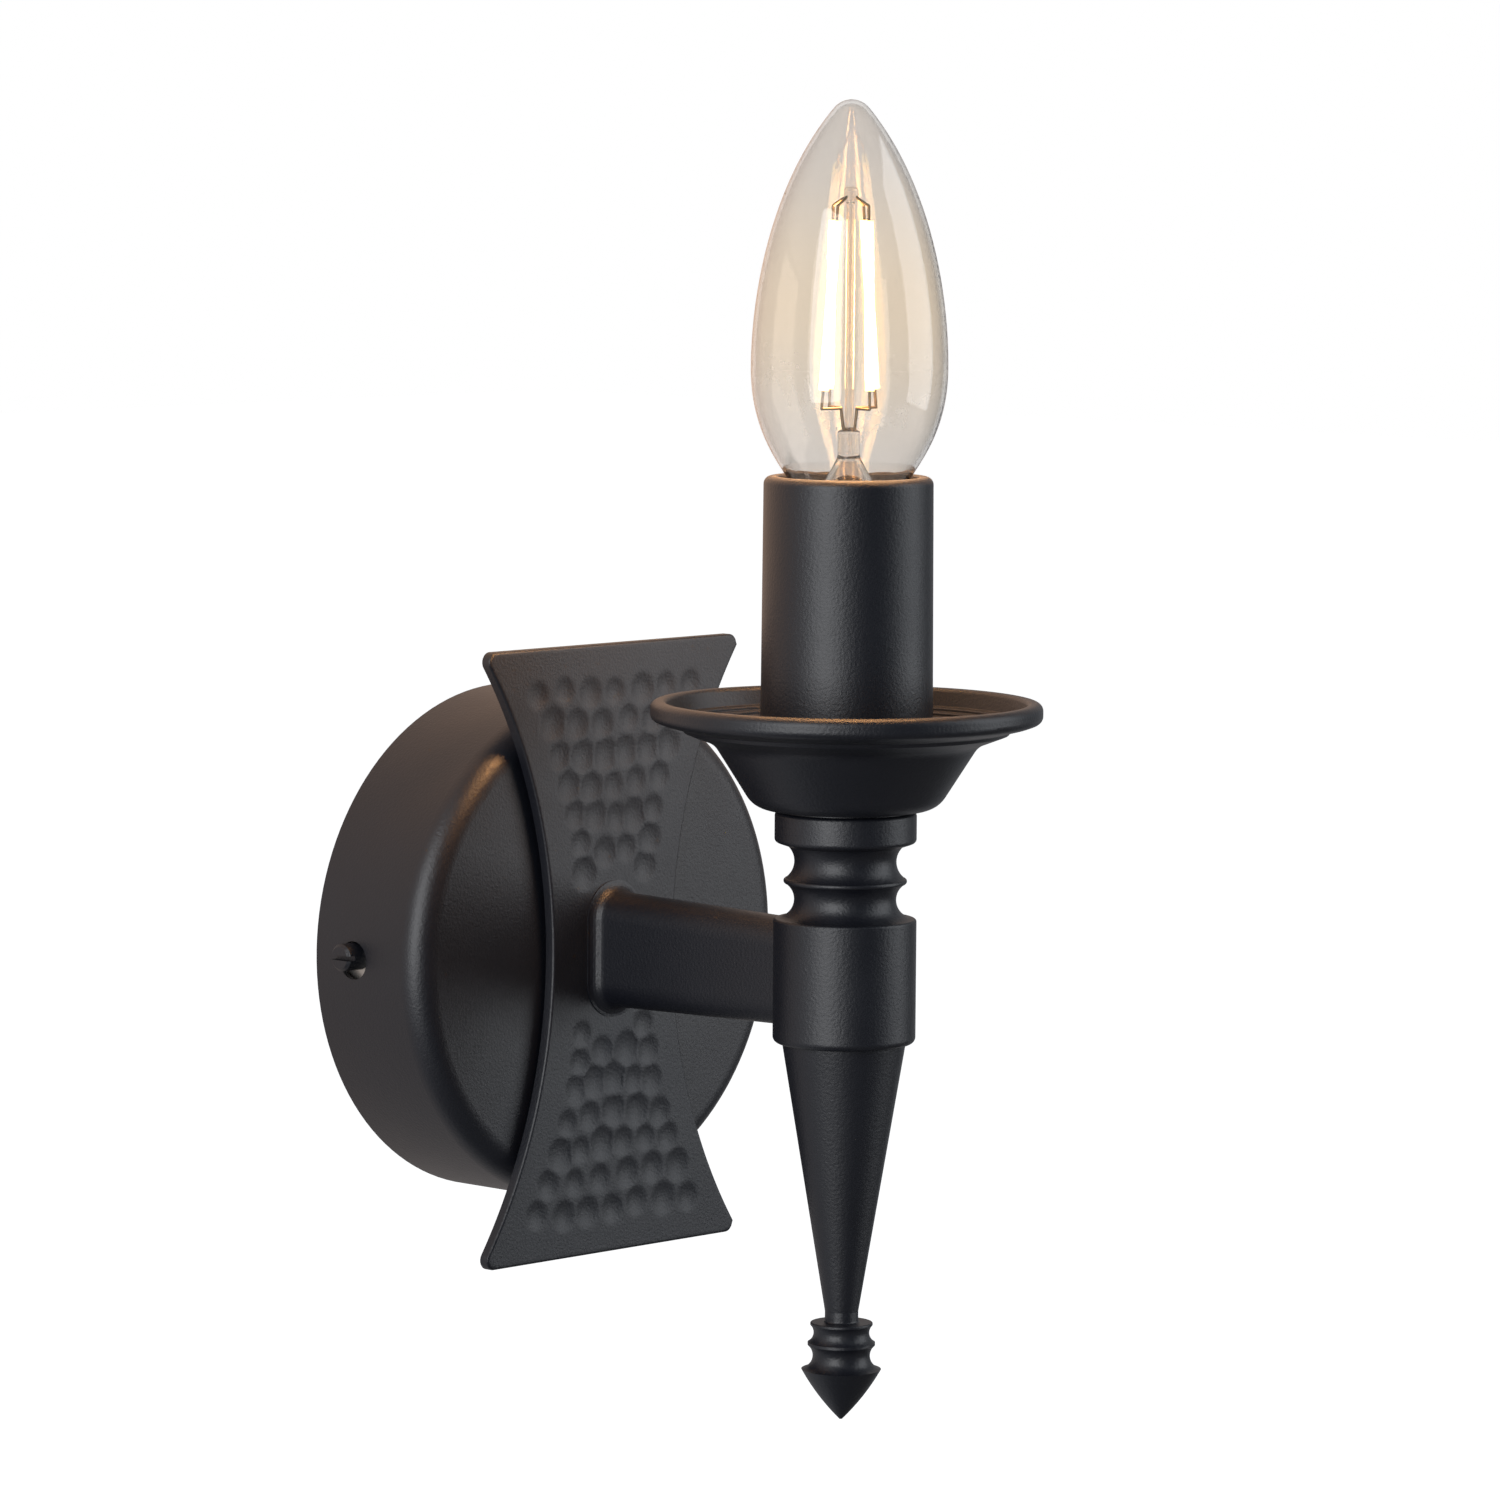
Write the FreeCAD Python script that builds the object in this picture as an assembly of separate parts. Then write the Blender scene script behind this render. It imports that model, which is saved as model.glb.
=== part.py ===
import FreeCAD, Part
import math
import os

from FreeCAD import Vector

# Torch sconce, in millimetres.  +Z is up, the wall is the plane Y = 0 and the front faces -Y.
# The origin is the centre of the wall cup's open back, level with the arm.

# ---- wall cup: a pressed steel cup with a flat front and a rounded lip ----
CUP_RADIUS = 46.9
CUP_DEPTH = 26.9
CUP_SHEET = 1.0
CUP_LIP_ROUND = 4.6

# ---- wall bracket: a stamped steel cross whose two ends turn up as ears ----
BRACKET_SHEET = 1.5
BRACKET_HUB_RADIUS = 14.0
BRACKET_CORNER = 3.0
CABLE_HOLE_RADIUS = 6.5
SLOT_SPACING = 54.0
SLOT_LENGTH = 14.0
SLOT_HALF_WIDTH = 2.3
EAR_HALF = 8.0
EAR_HEIGHT = 15.0
EAR_BEND = 2.5
EAR_CUP_GAP = 0.25
EAR_BOSS_WALL = 1.5
EAR_BOSS_LENGTH = 2.0
LOCK_SCREW_RADIUS = 2.5
LOCK_SCREW_LENGTH = 9.0
LOCK_SCREW_PROUD = 3.0
LOCK_SLOT = 1.5
LOCK_SCREW_FROM_WALL = 9.2
LOCK_HOLE_RADIUS = 3.5
LOCK_HOLE_FROM_WALL = 9.6
CUP_HANG = 0.7

# ---- mains terminal block and earth screw on the bracket ----
BLOCK_HALF_WIDTH = 9.5
BLOCK_LENGTH = 18.0
BLOCK_DEPTH = 12.0
BLOCK_BOTTOM = 13.5
BLOCK_ROUND = 1.0
BLOCK_WAIST = 2.0
BLOCK_TAB_MARGIN = 2.0
BLOCK_TAB_HALF = 11.0
BARREL_RADIUS = 2.7
BARREL_BORE = 1.6
BARREL_LENGTH = 15.0
BARREL_SPACING = 10.4
BARREL_AXIS_DEPTH = 5.0
CLAMP_SCREW_RADIUS = 1.3
CLAMP_SCREW_SPACING = 9.0
CLAMP_SCREW_RECESS = 1.2
BLOCK_SCREW_RADIUS = 1.5
BLOCK_SCREW_HEAD_RADIUS = 2.2
BLOCK_SCREW_HEAD = 1.8
BLOCK_SCREW_RECESS = 6.0
EARTH_TAB_HALF = 7.0
EARTH_TAB_LENGTH = 30.0
EARTH_SCREW_HEIGHT = -23.0
EARTH_SCREW_RADIUS = 2.0
EARTH_HEAD_RADIUS = 3.6
EARTH_HEAD = 2.4
EARTH_WASHER_RADIUS = 4.5
EARTH_WASHER = 0.8

# ---- hammered strap: a flat plate with hollow sides ----
STRAP_HALF_HEIGHT = 56.2
STRAP_END_HALF = 33.85
STRAP_WAIST_HALF = 15.65
STRAP_SHEET = 2.0
STRAP_CORNER = 1.8
STRAP_EDGE_ROUND = 0.5
SPACER_RADIUS = 12.5
SPACER_SHEET = 0.8

# ---- cast arm with its collar ----
TORCH_AXIS_FROM_WALL = 87.25
ARM_ROOT_HALF_HEIGHT = 10.6
ARM_END_HALF_HEIGHT = 9.4
ARM_HALF_WIDTH = 5.0
ARM_CORNER = 4.8
ARM_FLARE = 2.0
ARM_FLARE_LAND = 0.2
ARM_FLARE_STEPS = 6
ARM_JOINT_FILLET = 0.8
CHANNEL_HALF_WIDTH = 2.6
CHANNEL_HALF_HEIGHT = 3.2
COLLAR_RADIUS = 12.75
COLLAR_BOTTOM = -11.6
COLLAR_TOP = 10.75
COLLAR_EDGE = 1.2
COLLAR_TOP_EDGE = 0.5
COLLAR_BORE = 8.2
COLLAR_BORE_TOP = 4.0
ARM_SCREW_RADIUS = 2.0
ARM_SCREW_LENGTH = 18.0
ARM_SCREW_SPACING = 14.8
ARM_SCREW_HEAD_RADIUS = 3.8
ARM_SCREW_HEAD = 2.6
ARM_SCREW_HOLE_DEPTH = 15.0
WASHER_SHEET = 0.9

# ---- turned spindle between collar and drip pan, its stations measured up from the collar ----
SPINDLE_FOOT_RADIUS = 12.2
COVE_RADIUS = 9.1
COVE_LOW = 3.2
COVE_HIGH = 10.3
BEAD_RADIUS = 11.0
BEAD_HEIGHT = 6.7
BEAD_HALF = 0.5
BEAD_EDGE = 0.4
NECK_RADIUS = 10.3
NECK_HEIGHT = 12.95
DISC_RADIUS = 12.65
DISC_SLOPE = 0.8
DISC_HEIGHT = 5.4
DISC_EDGE = 0.8

# ---- drip pan: a cast dish with a stepped brim, its heights measured up from the disc ----
PAN_FOOT_RADIUS = 11.9
PAN_FOOT = 0.35
PAN_BELLY_RADIUS = 16.2
PAN_BELLY_ROUND = 5.0
PAN_FLARE_RADIUS = 23.6
PAN_FLARE_HEIGHT = 12.0
PAN_FLARE_ROUND = 4.0
PAN_FLARE_LEAN = 41.0
PAN_BRIM_SLOPE = 0.38
PAN_STEP_RADIUS = 28.9
PAN_STEP_WIDTH = 0.5
PAN_STEP_HEIGHT = 0.7
PAN_RIM_RADIUS = 34.9
PAN_RIM_HEIGHT = 19.6
PAN_RIM_WIDTH = 2.7
PAN_RIM_DEPTH = 3.3
PAN_RIM_ROUND = 1.4
PAN_LIP_LEAN = 0.9
PAN_SHELF_WIDTH = 2.1
PAN_LEDGE_WIDTH = 1.5
PAN_WALL = 1.5
PAN_FLOOR_SHEET = 3.1

# ---- threaded rod, nut and washer that clamp the torch together ----
ROD_RADIUS = 5.0
ROD_BORE = 3.8
ROD_REACH = 8.0
ROD_CLEARANCE = 0.2
PAN_WASHER_RADIUS = 8.5
PAN_WASHER = 1.0
PAN_NUT_FLATS = 14.0
PAN_NUT = 4.0

# ---- lampholder inside the candle sleeve ----
HOLDER_RADIUS = 12.2
HOLDER_NECK_RADIUS = 11.2
HOLDER_WALL = 2.2
HOLDER_FLOOR = 3.0
HOLDER_BOSS_RADIUS = 8.5
HOLDER_BASE_HEIGHT = 13.4
HOLDER_SINK = 0.2
HOLDER_MOUTH_GAP = 0.5
HOLDER_RIBS = 4
HOLDER_RIB_TURN = 45.0
HOLDER_RIB_GAP = 0.15
HOLDER_RIB_WIDTH = 1.6
HOLDER_RIB_END = 2.0
INSERT_RADIUS = 10.35
INSERT_HEIGHT = 4.0
SHELL_SHEET = 0.6
SHELL_END = 5.1
CONTACT_HEIGHT = 2.2
CONTACT_STRIP = 0.4
CONTACT_WIDTH = 5.0
CONTACT_FOOT = 3.0
CONTACT_HALF_TOP = 1.6
CONTACT_LIFT_OFF = 0.3
TERMINAL_X = 7.2
TERMINAL_WIDTH = 4.0
TERMINAL_DEPTH = 6.0
TERMINAL_HEIGHT = 4.8
TERMINAL_SCREW_RADIUS = 1.3
TERMINAL_SCREW_LENGTH = 3.0
ACCESS_HOLE_RADIUS = 2.0

# ---- candle sleeve ----
SLEEVE_BOTTOM_RADIUS = 15.4
SLEEVE_TOP_RADIUS = 15.05
SLEEVE_OVERHANG = 5.5
SLEEVE_WALL = 1.2
SLEEVE_LIP = 1.4
SLEEVE_MOUTH_RADIUS = 12.5
SLEEVE_EDGE = 1.4

# ---- lower cone and finial ----
CONE_TOP_RADIUS = 11.04
CONE_TIP_RADIUS = 3.0
CONE_LENGTH = 48.4
CONE_SPIGOT = 5.5
FINIAL_NECK = 2.0
FINIAL_NECK_ROUND = 0.4
RING_1_RADIUS = 5.6
RING_2_RADIUS = 6.05
RING_RIM = 0.5
RING_PITCH = 3.65
FINIAL_COVE_1 = 5.0
FINIAL_COVE_2 = 5.15
ARROW_RADIUS = 7.15
ARROW_DROP = 4.85
ARROW_LENGTH = 9.1
ARROW_BULGE = 0.5
ARROW_POINT = 0.25
STUD_RADIUS = 1.5
STUD_LENGTH = 7.0

# ---- candle bulb: 35 mm wide, with a 14 mm screw cap, built up from the cap's tip ----
BULB_LENGTH = 98.0
BULB_RADIUS = 17.45
BULB_NECK_RADIUS = 8.2
BULB_NECK_SINK = 1.2
BULB_BELLY = 25.7
BULB_TIP_ROUND = 4.0
BULB_TIP_SLOPE = 40.0
BULB_LOW_PULL = 15.4
BULB_NECK_PULL = 5.5
BULB_HIGH_PULL = 14.8
BULB_TIP_PULL = 16.0
GLASS_WALL = 0.7
CAP_RADIUS = 6.95
CAP_SHEET = 0.35
CAP_THREAD_HEIGHT = 21.1
CAP_FLARE = 2.5
CAP_RIM_RADIUS = 8.8
CAP_RIM = 2.7
CAP_BOTTOM_RADIUS = 5.2
CAP_BOTTOM_ROUND = 1.0
CAP_INSULATOR = 2.6
CAP_CONTACT_RADIUS = 2.4
CAP_TIP_RADIUS = 1.4
CAP_CONTACT = 0.9
STEM_SKIRT = 10.0
STEM_PINCH_RADIUS = 2.0
STEM_PINCH = 4.5
STEM_ROD_RADIUS = 0.8
STEM_ROD = 40.1
STEM_HUB_RADIUS = 1.3
STEM_HUB = 2.9
FILAMENTS = 4
FILAMENT_TURN = 88.0
FILAMENT_TWIST = -7.0
FILAMENT_RADIUS = 0.85
FILAMENT_DROP = 3.0
FILAMENT_HEIGHT = 29.8
FILAMENT_TOP_SPREAD = 4.0
FILAMENT_BOTTOM_SPREAD = 5.8
WIRE_RADIUS = 0.25
HOOK_STRAIGHT = 2.6
LEAD_DROP = 3.2
LEAD_RUN = 1.2

# ---- fits ----
THREAD_GAP = 0.05
SEAT_GAP = 0.05
SCREW_CLEARANCE = 0.2
TURNING_GAP = 0.3
LOCATING_GAP = 0.3
SLOT_CUT = 0.9
SLOT_WIDTH = 0.6
CHAMFER = 0.5
TINY = 1e-3
THROUGH = "through"

UP = Vector(0, 0, 1)
FRONT = Vector(0, -1, 0)
TORCH = Vector(0, -TORCH_AXIS_FROM_WALL, 0)


# ---------------------------------------------------------------- geometry helpers

def fillet_ends(before, corner, after, radius):
    """Where a rounding of this radius meets the two straight sides, and its middle."""
    back = (before - corner).normalize()
    ahead = (after - corner).normalize()
    half = back.getAngle(ahead) / 2
    reach = radius / math.tan(half)
    bisector = (back + ahead).normalize()
    middle = corner + bisector * (radius / math.sin(half) - radius)
    return corner + back * reach, middle, corner + ahead * reach


def rounded_outline(corners):
    """A closed wire in the XZ plane through corners (u, v, rounding).

    Where the rounding is THROUGH, an arc runs from the corner before to the corner after,
    through this point."""
    points = [Vector(u, 0, v) for u, v, _ in corners]
    kinds = [rounding for _, _, rounding in corners]
    count = len(points)
    edges = []
    bends = []
    for i, rounding in enumerate(kinds):
        if rounding and rounding != THROUGH:
            bends.append(fillet_ends(points[i - 1], points[i], points[(i + 1) % count], rounding))
        else:
            bends.append((points[i], points[i], points[i]))
    for i, (start, middle, end) in enumerate(bends):
        ahead = (i + 1) % count
        following = bends[ahead][0]
        if kinds[i] == THROUGH:
            edges.append(Part.Arc(bends[i - 1][2], middle, following).toShape())
            continue
        if kinds[i]:
            edges.append(Part.Arc(start, middle, end).toShape())
        if kinds[ahead] != THROUGH and end.distanceToPoint(following) > TINY:
            edges.append(Part.LineSegment(end, following).toShape())
    return Part.Wire(edges)


def rectangle(half_width, half_height, rounding, x=0.0):
    """Corners (u, v, rounding) of a rounded rectangle; a full rounding makes it a slot."""
    return [(x - half_width, -half_height, rounding), (x + half_width, -half_height, rounding),
            (x + half_width, half_height, rounding), (x - half_width, half_height, rounding)]


def turned(wire):
    """Revolve a wire drawn at (radius, height) about the Z axis."""
    return Part.Face(wire).revolve(Vector(), UP, 360)


def turned_on_torch(corners):
    """Revolve corners (radius, height, rounding) about the torch's axis."""
    return turned(rounded_outline(corners)).translated(TORCH)


def facing_front(shape):
    """Turn a shape built along +Z so that its height points to the front."""
    return shape.rotated(Vector(), Vector(1, 0, 0), 90)


def post(radius, bottom, top, x=0.0, y=0.0):
    """An upright cylinder."""
    return Part.makeCylinder(radius, top - bottom, Vector(x, y, bottom))


def torch_post(radius, bottom, top):
    """An upright cylinder on the torch's axis."""
    return post(radius, bottom, top, y=-TORCH_AXIS_FROM_WALL)


def peg(radius, near, far, x=0.0, z=0.0):
    """A cylinder that runs from one distance off the wall to another."""
    return Part.makeCylinder(radius, far - near, Vector(x, -near, z), FRONT)


def crossbar(radius, start, end, y, z):
    """A cylinder along X."""
    direction = Vector(1 if end > start else -1, 0, 0)
    return Part.makeCylinder(radius, abs(end - start), Vector(start, y, z), direction)


def block(x0, x1, near, far, z0, z1):
    """A box given by its sides and its two distances off the wall."""
    return Part.makeBox(x1 - x0, far - near, z1 - z0, Vector(x0, -far, z0))


def plate(corners, near, sheet):
    """A flat plate with an outline (x, z, rounding), parallel to the wall."""
    face = Part.Face(rounded_outline(corners))
    return face.translated(Vector(0, -near, 0)).extrude(FRONT * sheet)


def chamfered_post(radius, bottom, top):
    """A solid turned about Z with both ends chamfered."""
    corners = [(0, bottom, 0), (radius - CHAMFER, bottom, 0), (radius, bottom + CHAMFER, 0),
               (radius, top - CHAMFER, 0), (radius - CHAMFER, top, 0), (0, top, 0)]
    return turned(rounded_outline(corners))


def hexagon_prism(flats, bottom, top):
    """A hexagonal prism with chamfered corners."""
    corner = flats / math.sqrt(3)
    points = [Vector(corner * math.cos(math.radians(60 * i)), corner * math.sin(math.radians(60 * i)),
                     bottom) for i in range(7)]
    prism = Part.Face(Part.makePolygon(points)).extrude(UP * (top - bottom))
    return prism.common(chamfered_post(corner, bottom, top))


def edges_along(shape, direction):
    """The straight edges of a shape that run along one direction."""
    return [edge for edge in shape.Edges
            if edge.tangentAt(edge.FirstParameter).cross(direction).Length < TINY]


def group(shapes):
    """Several separate solids of one node."""
    return Part.makeCompound(shapes)


def both_sides(shape):
    """The shape and its mirror image across the middle plane."""
    return [shape, shape.mirror(Vector(), Vector(1, 0, 0))]


# ---------------------------------------------------------------- wall cup and bracket

EAR_FACE = CUP_RADIUS - CUP_SHEET - EAR_CUP_GAP - EAR_HALF ** 2 / (2 * CUP_RADIUS)
BEND_START = EAR_FACE - EAR_BEND
STRAP_BACK = CUP_DEPTH + SPACER_SHEET
STRAP_FRONT = STRAP_BACK + STRAP_SHEET
SCREW_HEIGHTS = (-ARM_SCREW_SPACING / 2, ARM_SCREW_SPACING / 2)


def wiring_holes(near, far):
    """The wire hole and the two arm screw holes, through what lies between cup and arm."""
    holes = [peg(ARM_SCREW_RADIUS + SCREW_CLEARANCE, near, far, z=z) for z in SCREW_HEIGHTS]
    holes.append(peg(CHANNEL_HALF_HEIGHT, near, far))
    return group(holes)


def wall_cup():
    inner_radius = CUP_RADIUS - CUP_SHEET
    inner_depth = CUP_DEPTH - CUP_SHEET
    corners = [(CUP_RADIUS, 0, 0), (CUP_RADIUS, CUP_DEPTH, CUP_LIP_ROUND), (0, CUP_DEPTH, 0),
               (0, inner_depth, 0), (inner_radius, inner_depth, CUP_LIP_ROUND - CUP_SHEET),
               (inner_radius, 0, 0)]
    cup = facing_front(turned(rounded_outline(corners)))
    lock_hole = crossbar(LOCK_HOLE_RADIUS, -2 * CUP_RADIUS, 2 * CUP_RADIUS, -LOCK_HOLE_FROM_WALL, 0)
    return cup.cut(lock_hole).cut(wiring_holes(0, CUP_DEPTH))


def bracket_slot(x):
    return plate(rectangle(SLOT_LENGTH / 2, SLOT_HALF_WIDTH, SLOT_HALF_WIDTH, x), 0, BRACKET_SHEET)


def bracket_ear():
    """An upturned end of the bracket from the start of its bend, with a thread for the lock screw."""
    sheet = BRACKET_SHEET
    inner = EAR_FACE - sheet
    corners = [(BEND_START, 0, 0), (EAR_FACE, 0, EAR_BEND), (EAR_FACE, EAR_HEIGHT, 0),
               (inner, EAR_HEIGHT, 0), (inner, sheet, EAR_BEND - sheet), (BEND_START, sheet, 0)]
    ear = Part.Face(rounded_outline(corners)).extrude(Vector(0, 2 * EAR_HALF, 0))
    ear = facing_front(ear.translated(Vector(0, -EAR_HALF, 0)))
    boss = crossbar(LOCK_SCREW_RADIUS + EAR_BOSS_WALL, inner, inner - EAR_BOSS_LENGTH,
                    -LOCK_SCREW_FROM_WALL, CUP_HANG)
    thread = crossbar(LOCK_SCREW_RADIUS + THREAD_GAP, 0, CUP_RADIUS, -LOCK_SCREW_FROM_WALL, CUP_HANG)
    return ear.fuse(boss).cut(thread)


def bracket_ears():
    return group(both_sides(bracket_ear()))


def wall_bracket():
    tab_top = BLOCK_BOTTOM + BLOCK_LENGTH + BLOCK_TAB_MARGIN
    round_ = BRACKET_CORNER
    block_tab = [(-BLOCK_TAB_HALF, 0, 0), (BLOCK_TAB_HALF, 0, 0), (BLOCK_TAB_HALF, tab_top, round_),
                 (-BLOCK_TAB_HALF, tab_top, round_)]
    earth_tab = [(-EARTH_TAB_HALF, -EARTH_TAB_LENGTH, round_), (EARTH_TAB_HALF, -EARTH_TAB_LENGTH, round_),
                 (EARTH_TAB_HALF, 0, 0), (-EARTH_TAB_HALF, 0, 0)]
    strip = block(-BEND_START, BEND_START, 0, BRACKET_SHEET, -EAR_HALF, EAR_HALF)
    body = strip.fuse([plate(block_tab, 0, BRACKET_SHEET), plate(earth_tab, 0, BRACKET_SHEET),
                       peg(BRACKET_HUB_RADIUS, 0, BRACKET_SHEET)])
    cuts = both_sides(bracket_slot(SLOT_SPACING / 2))
    cuts.append(peg(CABLE_HOLE_RADIUS, 0, BRACKET_SHEET))
    cuts.append(peg(BLOCK_SCREW_RADIUS + THREAD_GAP, 0, BRACKET_SHEET, z=BLOCK_BOTTOM + BLOCK_LENGTH / 2))
    cuts.append(peg(EARTH_SCREW_RADIUS + THREAD_GAP, 0, BRACKET_SHEET, z=EARTH_SCREW_HEIGHT))
    return body.cut(cuts).removeSplitter()


def cup_lock_screws():
    """Slotted set screws, backed out of the ears until they fill the cup's side holes."""
    out = CUP_RADIUS + LOCK_SCREW_PROUD
    screw = chamfered_post(LOCK_SCREW_RADIUS, out - LOCK_SCREW_LENGTH, out)
    slot = block(-LOCK_SCREW_RADIUS, LOCK_SCREW_RADIUS, -SLOT_CUT / 2, SLOT_CUT / 2,
                 out - LOCK_SLOT, out)
    screw = screw.cut(slot).rotated(Vector(), UP, 90).rotated(Vector(), Vector(0, 1, 0), 90)
    return group(both_sides(screw.translated(Vector(0, -LOCK_SCREW_FROM_WALL, CUP_HANG))))


# ---------------------------------------------------------------- terminal block and earth

BLOCK_MIDDLE = BLOCK_BOTTOM + BLOCK_LENGTH / 2
BLOCK_FRONT = BRACKET_SHEET + BLOCK_DEPTH
BARREL_AXIS = BRACKET_SHEET + BARREL_AXIS_DEPTH
BARREL_XS = (-BARREL_SPACING / 2, BARREL_SPACING / 2)
CLAMP_ZS = (BLOCK_MIDDLE - CLAMP_SCREW_SPACING / 2, BLOCK_MIDDLE + CLAMP_SCREW_SPACING / 2)


def terminal_block():
    body = block(-BLOCK_HALF_WIDTH, BLOCK_HALF_WIDTH, BRACKET_SHEET, BLOCK_FRONT, BLOCK_BOTTOM,
                 BLOCK_BOTTOM + BLOCK_LENGTH)
    front_corners = [edge for edge in edges_along(body, UP) if edge.CenterOfMass.y < -BARREL_AXIS]
    body = body.makeFillet(BLOCK_ROUND, front_corners)
    waist = block(-BLOCK_WAIST / 2, BLOCK_WAIST / 2, BLOCK_SCREW_RECESS, BLOCK_FRONT, BLOCK_BOTTOM,
                  BLOCK_BOTTOM + BLOCK_LENGTH)
    cuts = [waist, peg(BLOCK_SCREW_RADIUS + SEAT_GAP, 0, BLOCK_FRONT, z=BLOCK_MIDDLE),
            peg(BLOCK_SCREW_HEAD_RADIUS + SCREW_CLEARANCE, BLOCK_SCREW_RECESS, BLOCK_FRONT, z=BLOCK_MIDDLE)]
    for x in BARREL_XS:
        cuts.append(post(BARREL_RADIUS + SEAT_GAP, BLOCK_BOTTOM, BLOCK_BOTTOM + BLOCK_LENGTH, x,
                         -BARREL_AXIS))
        cuts += [peg(CLAMP_SCREW_RADIUS + SCREW_CLEARANCE, BARREL_AXIS, BLOCK_FRONT, x, z)
                 for z in CLAMP_ZS]
    return body.cut(cuts)


def terminal_barrels():
    barrels = []
    for x in BARREL_XS:
        low = BLOCK_MIDDLE - BARREL_LENGTH / 2
        barrel = post(BARREL_RADIUS, low, low + BARREL_LENGTH, x, -BARREL_AXIS)
        bore = post(BARREL_BORE, low, low + BARREL_LENGTH, x, -BARREL_AXIS)
        threads = [peg(CLAMP_SCREW_RADIUS, BARREL_AXIS, BARREL_AXIS + BARREL_RADIUS, x, z)
                   for z in CLAMP_ZS]
        barrels.append(barrel.cut([bore] + threads))
    return group(barrels)


def slotted_screw(radius, length, head_radius, head):
    """A slotted screw along Z: its thread ends at 0 and its head tops the length."""
    corners = [(0, 0, 0), (radius, 0, 0), (radius, length, 0), (head_radius, length, 0),
               (head_radius, length + head, CHAMFER), (0, length + head, 0)]
    screw = turned(rounded_outline(corners))
    top = length + head
    slot = block(-head_radius, head_radius, -SLOT_WIDTH / 2, SLOT_WIDTH / 2, top - SLOT_CUT, top)
    return screw.cut(slot)


def terminal_clamp_screws():
    """Headless clamp screws, driven down to the barrels' bores."""
    screws = []
    near = BARREL_AXIS + BARREL_BORE
    far = BLOCK_FRONT - CLAMP_SCREW_RECESS
    for x in BARREL_XS:
        for z in CLAMP_ZS:
            slot = block(x - BARREL_RADIUS, x + BARREL_RADIUS, far - SLOT_CUT, far, z - SLOT_WIDTH / 2,
                         z + SLOT_WIDTH / 2)
            screws.append(peg(CLAMP_SCREW_RADIUS - THREAD_GAP, near, far, x, z).cut(slot))
    return group(screws)


def terminal_fixing_screw():
    screw = slotted_screw(BLOCK_SCREW_RADIUS, BLOCK_SCREW_RECESS, BLOCK_SCREW_HEAD_RADIUS, BLOCK_SCREW_HEAD)
    return facing_front(screw).translated(Vector(0, 0, BLOCK_MIDDLE))


def earth_washer():
    ring = peg(EARTH_WASHER_RADIUS, BRACKET_SHEET, BRACKET_SHEET + EARTH_WASHER, z=EARTH_SCREW_HEIGHT)
    hole = peg(EARTH_SCREW_RADIUS + SCREW_CLEARANCE, 0, BRACKET_SHEET + EARTH_WASHER, z=EARTH_SCREW_HEIGHT)
    return ring.cut(hole)


def earth_screw():
    screw = slotted_screw(EARTH_SCREW_RADIUS, BRACKET_SHEET + EARTH_WASHER, EARTH_HEAD_RADIUS, EARTH_HEAD)
    return facing_front(screw).translated(Vector(0, 0, EARTH_SCREW_HEIGHT))


# ---------------------------------------------------------------- strap, spacer and arm

def strap_side(x_sign):
    """One hollow side of the strap: a single arc from corner to corner through the waist."""
    low = Vector(x_sign * STRAP_END_HALF, 0, -STRAP_HALF_HEIGHT)
    middle = Vector(x_sign * STRAP_WAIST_HALF, 0, 0)
    high = Vector(x_sign * STRAP_END_HALF, 0, STRAP_HALF_HEIGHT)
    return Part.Arc(low, middle, high).toShape()


def strap_end(z_sign):
    left = Vector(-STRAP_END_HALF, 0, z_sign * STRAP_HALF_HEIGHT)
    right = Vector(STRAP_END_HALF, 0, z_sign * STRAP_HALF_HEIGHT)
    return Part.LineSegment(left, right).toShape()


def hammered_strap():
    wire = Part.Wire(Part.__sortEdges__([strap_side(-1), strap_end(1), strap_side(1), strap_end(-1)]))
    strap = Part.Face(wire).translated(Vector(0, -STRAP_BACK, 0)).extrude(FRONT * STRAP_SHEET)
    strap = strap.makeFillet(STRAP_CORNER, edges_along(strap, FRONT))
    rim = [edge for edge in strap.Edges if abs(edge.CenterOfMass.y + STRAP_FRONT) < TINY]
    strap = strap.makeFillet(STRAP_EDGE_ROUND, rim)
    return strap.cut(wiring_holes(0, 2 * STRAP_FRONT))


def strap_spacer():
    """A thin disc that keeps the strap off the cup's paint when the arm screws pull up tight."""
    return peg(SPACER_RADIUS, CUP_DEPTH, STRAP_BACK).cut(wiring_holes(0, STRAP_BACK))


def arm_section(spread, half_height, from_wall):
    """The flattened section of the arm, at one distance off the wall."""
    corners = rectangle(ARM_HALF_WIDTH + spread, half_height + spread, ARM_CORNER + spread)
    return rounded_outline(corners).translated(Vector(0, -from_wall, 0))


def arm_shank():
    """The arm from its foot, spread on to the strap by a quarter-round, into the collar."""
    sections = [arm_section(ARM_FLARE, ARM_ROOT_HALF_HEIGHT, STRAP_FRONT)]
    for step in range(ARM_FLARE_STEPS + 1):
        angle = math.radians(90 * step / ARM_FLARE_STEPS)
        spread = ARM_FLARE * (1 - math.sin(angle))
        rise = ARM_FLARE_LAND + ARM_FLARE * (1 - math.cos(angle))
        sections.append(arm_section(spread, ARM_ROOT_HALF_HEIGHT, STRAP_FRONT + rise))
    sections.append(arm_section(0, ARM_END_HALF_HEIGHT, TORCH_AXIS_FROM_WALL))
    return Part.makeLoft(sections, True, True)


def arm_channel():
    """The cored wire way from the strap to the collar's bore."""
    corners = rectangle(CHANNEL_HALF_WIDTH, CHANNEL_HALF_HEIGHT, CHANNEL_HALF_WIDTH)
    return plate(corners, STRAP_FRONT, TORCH_AXIS_FROM_WALL - STRAP_FRONT)


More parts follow.
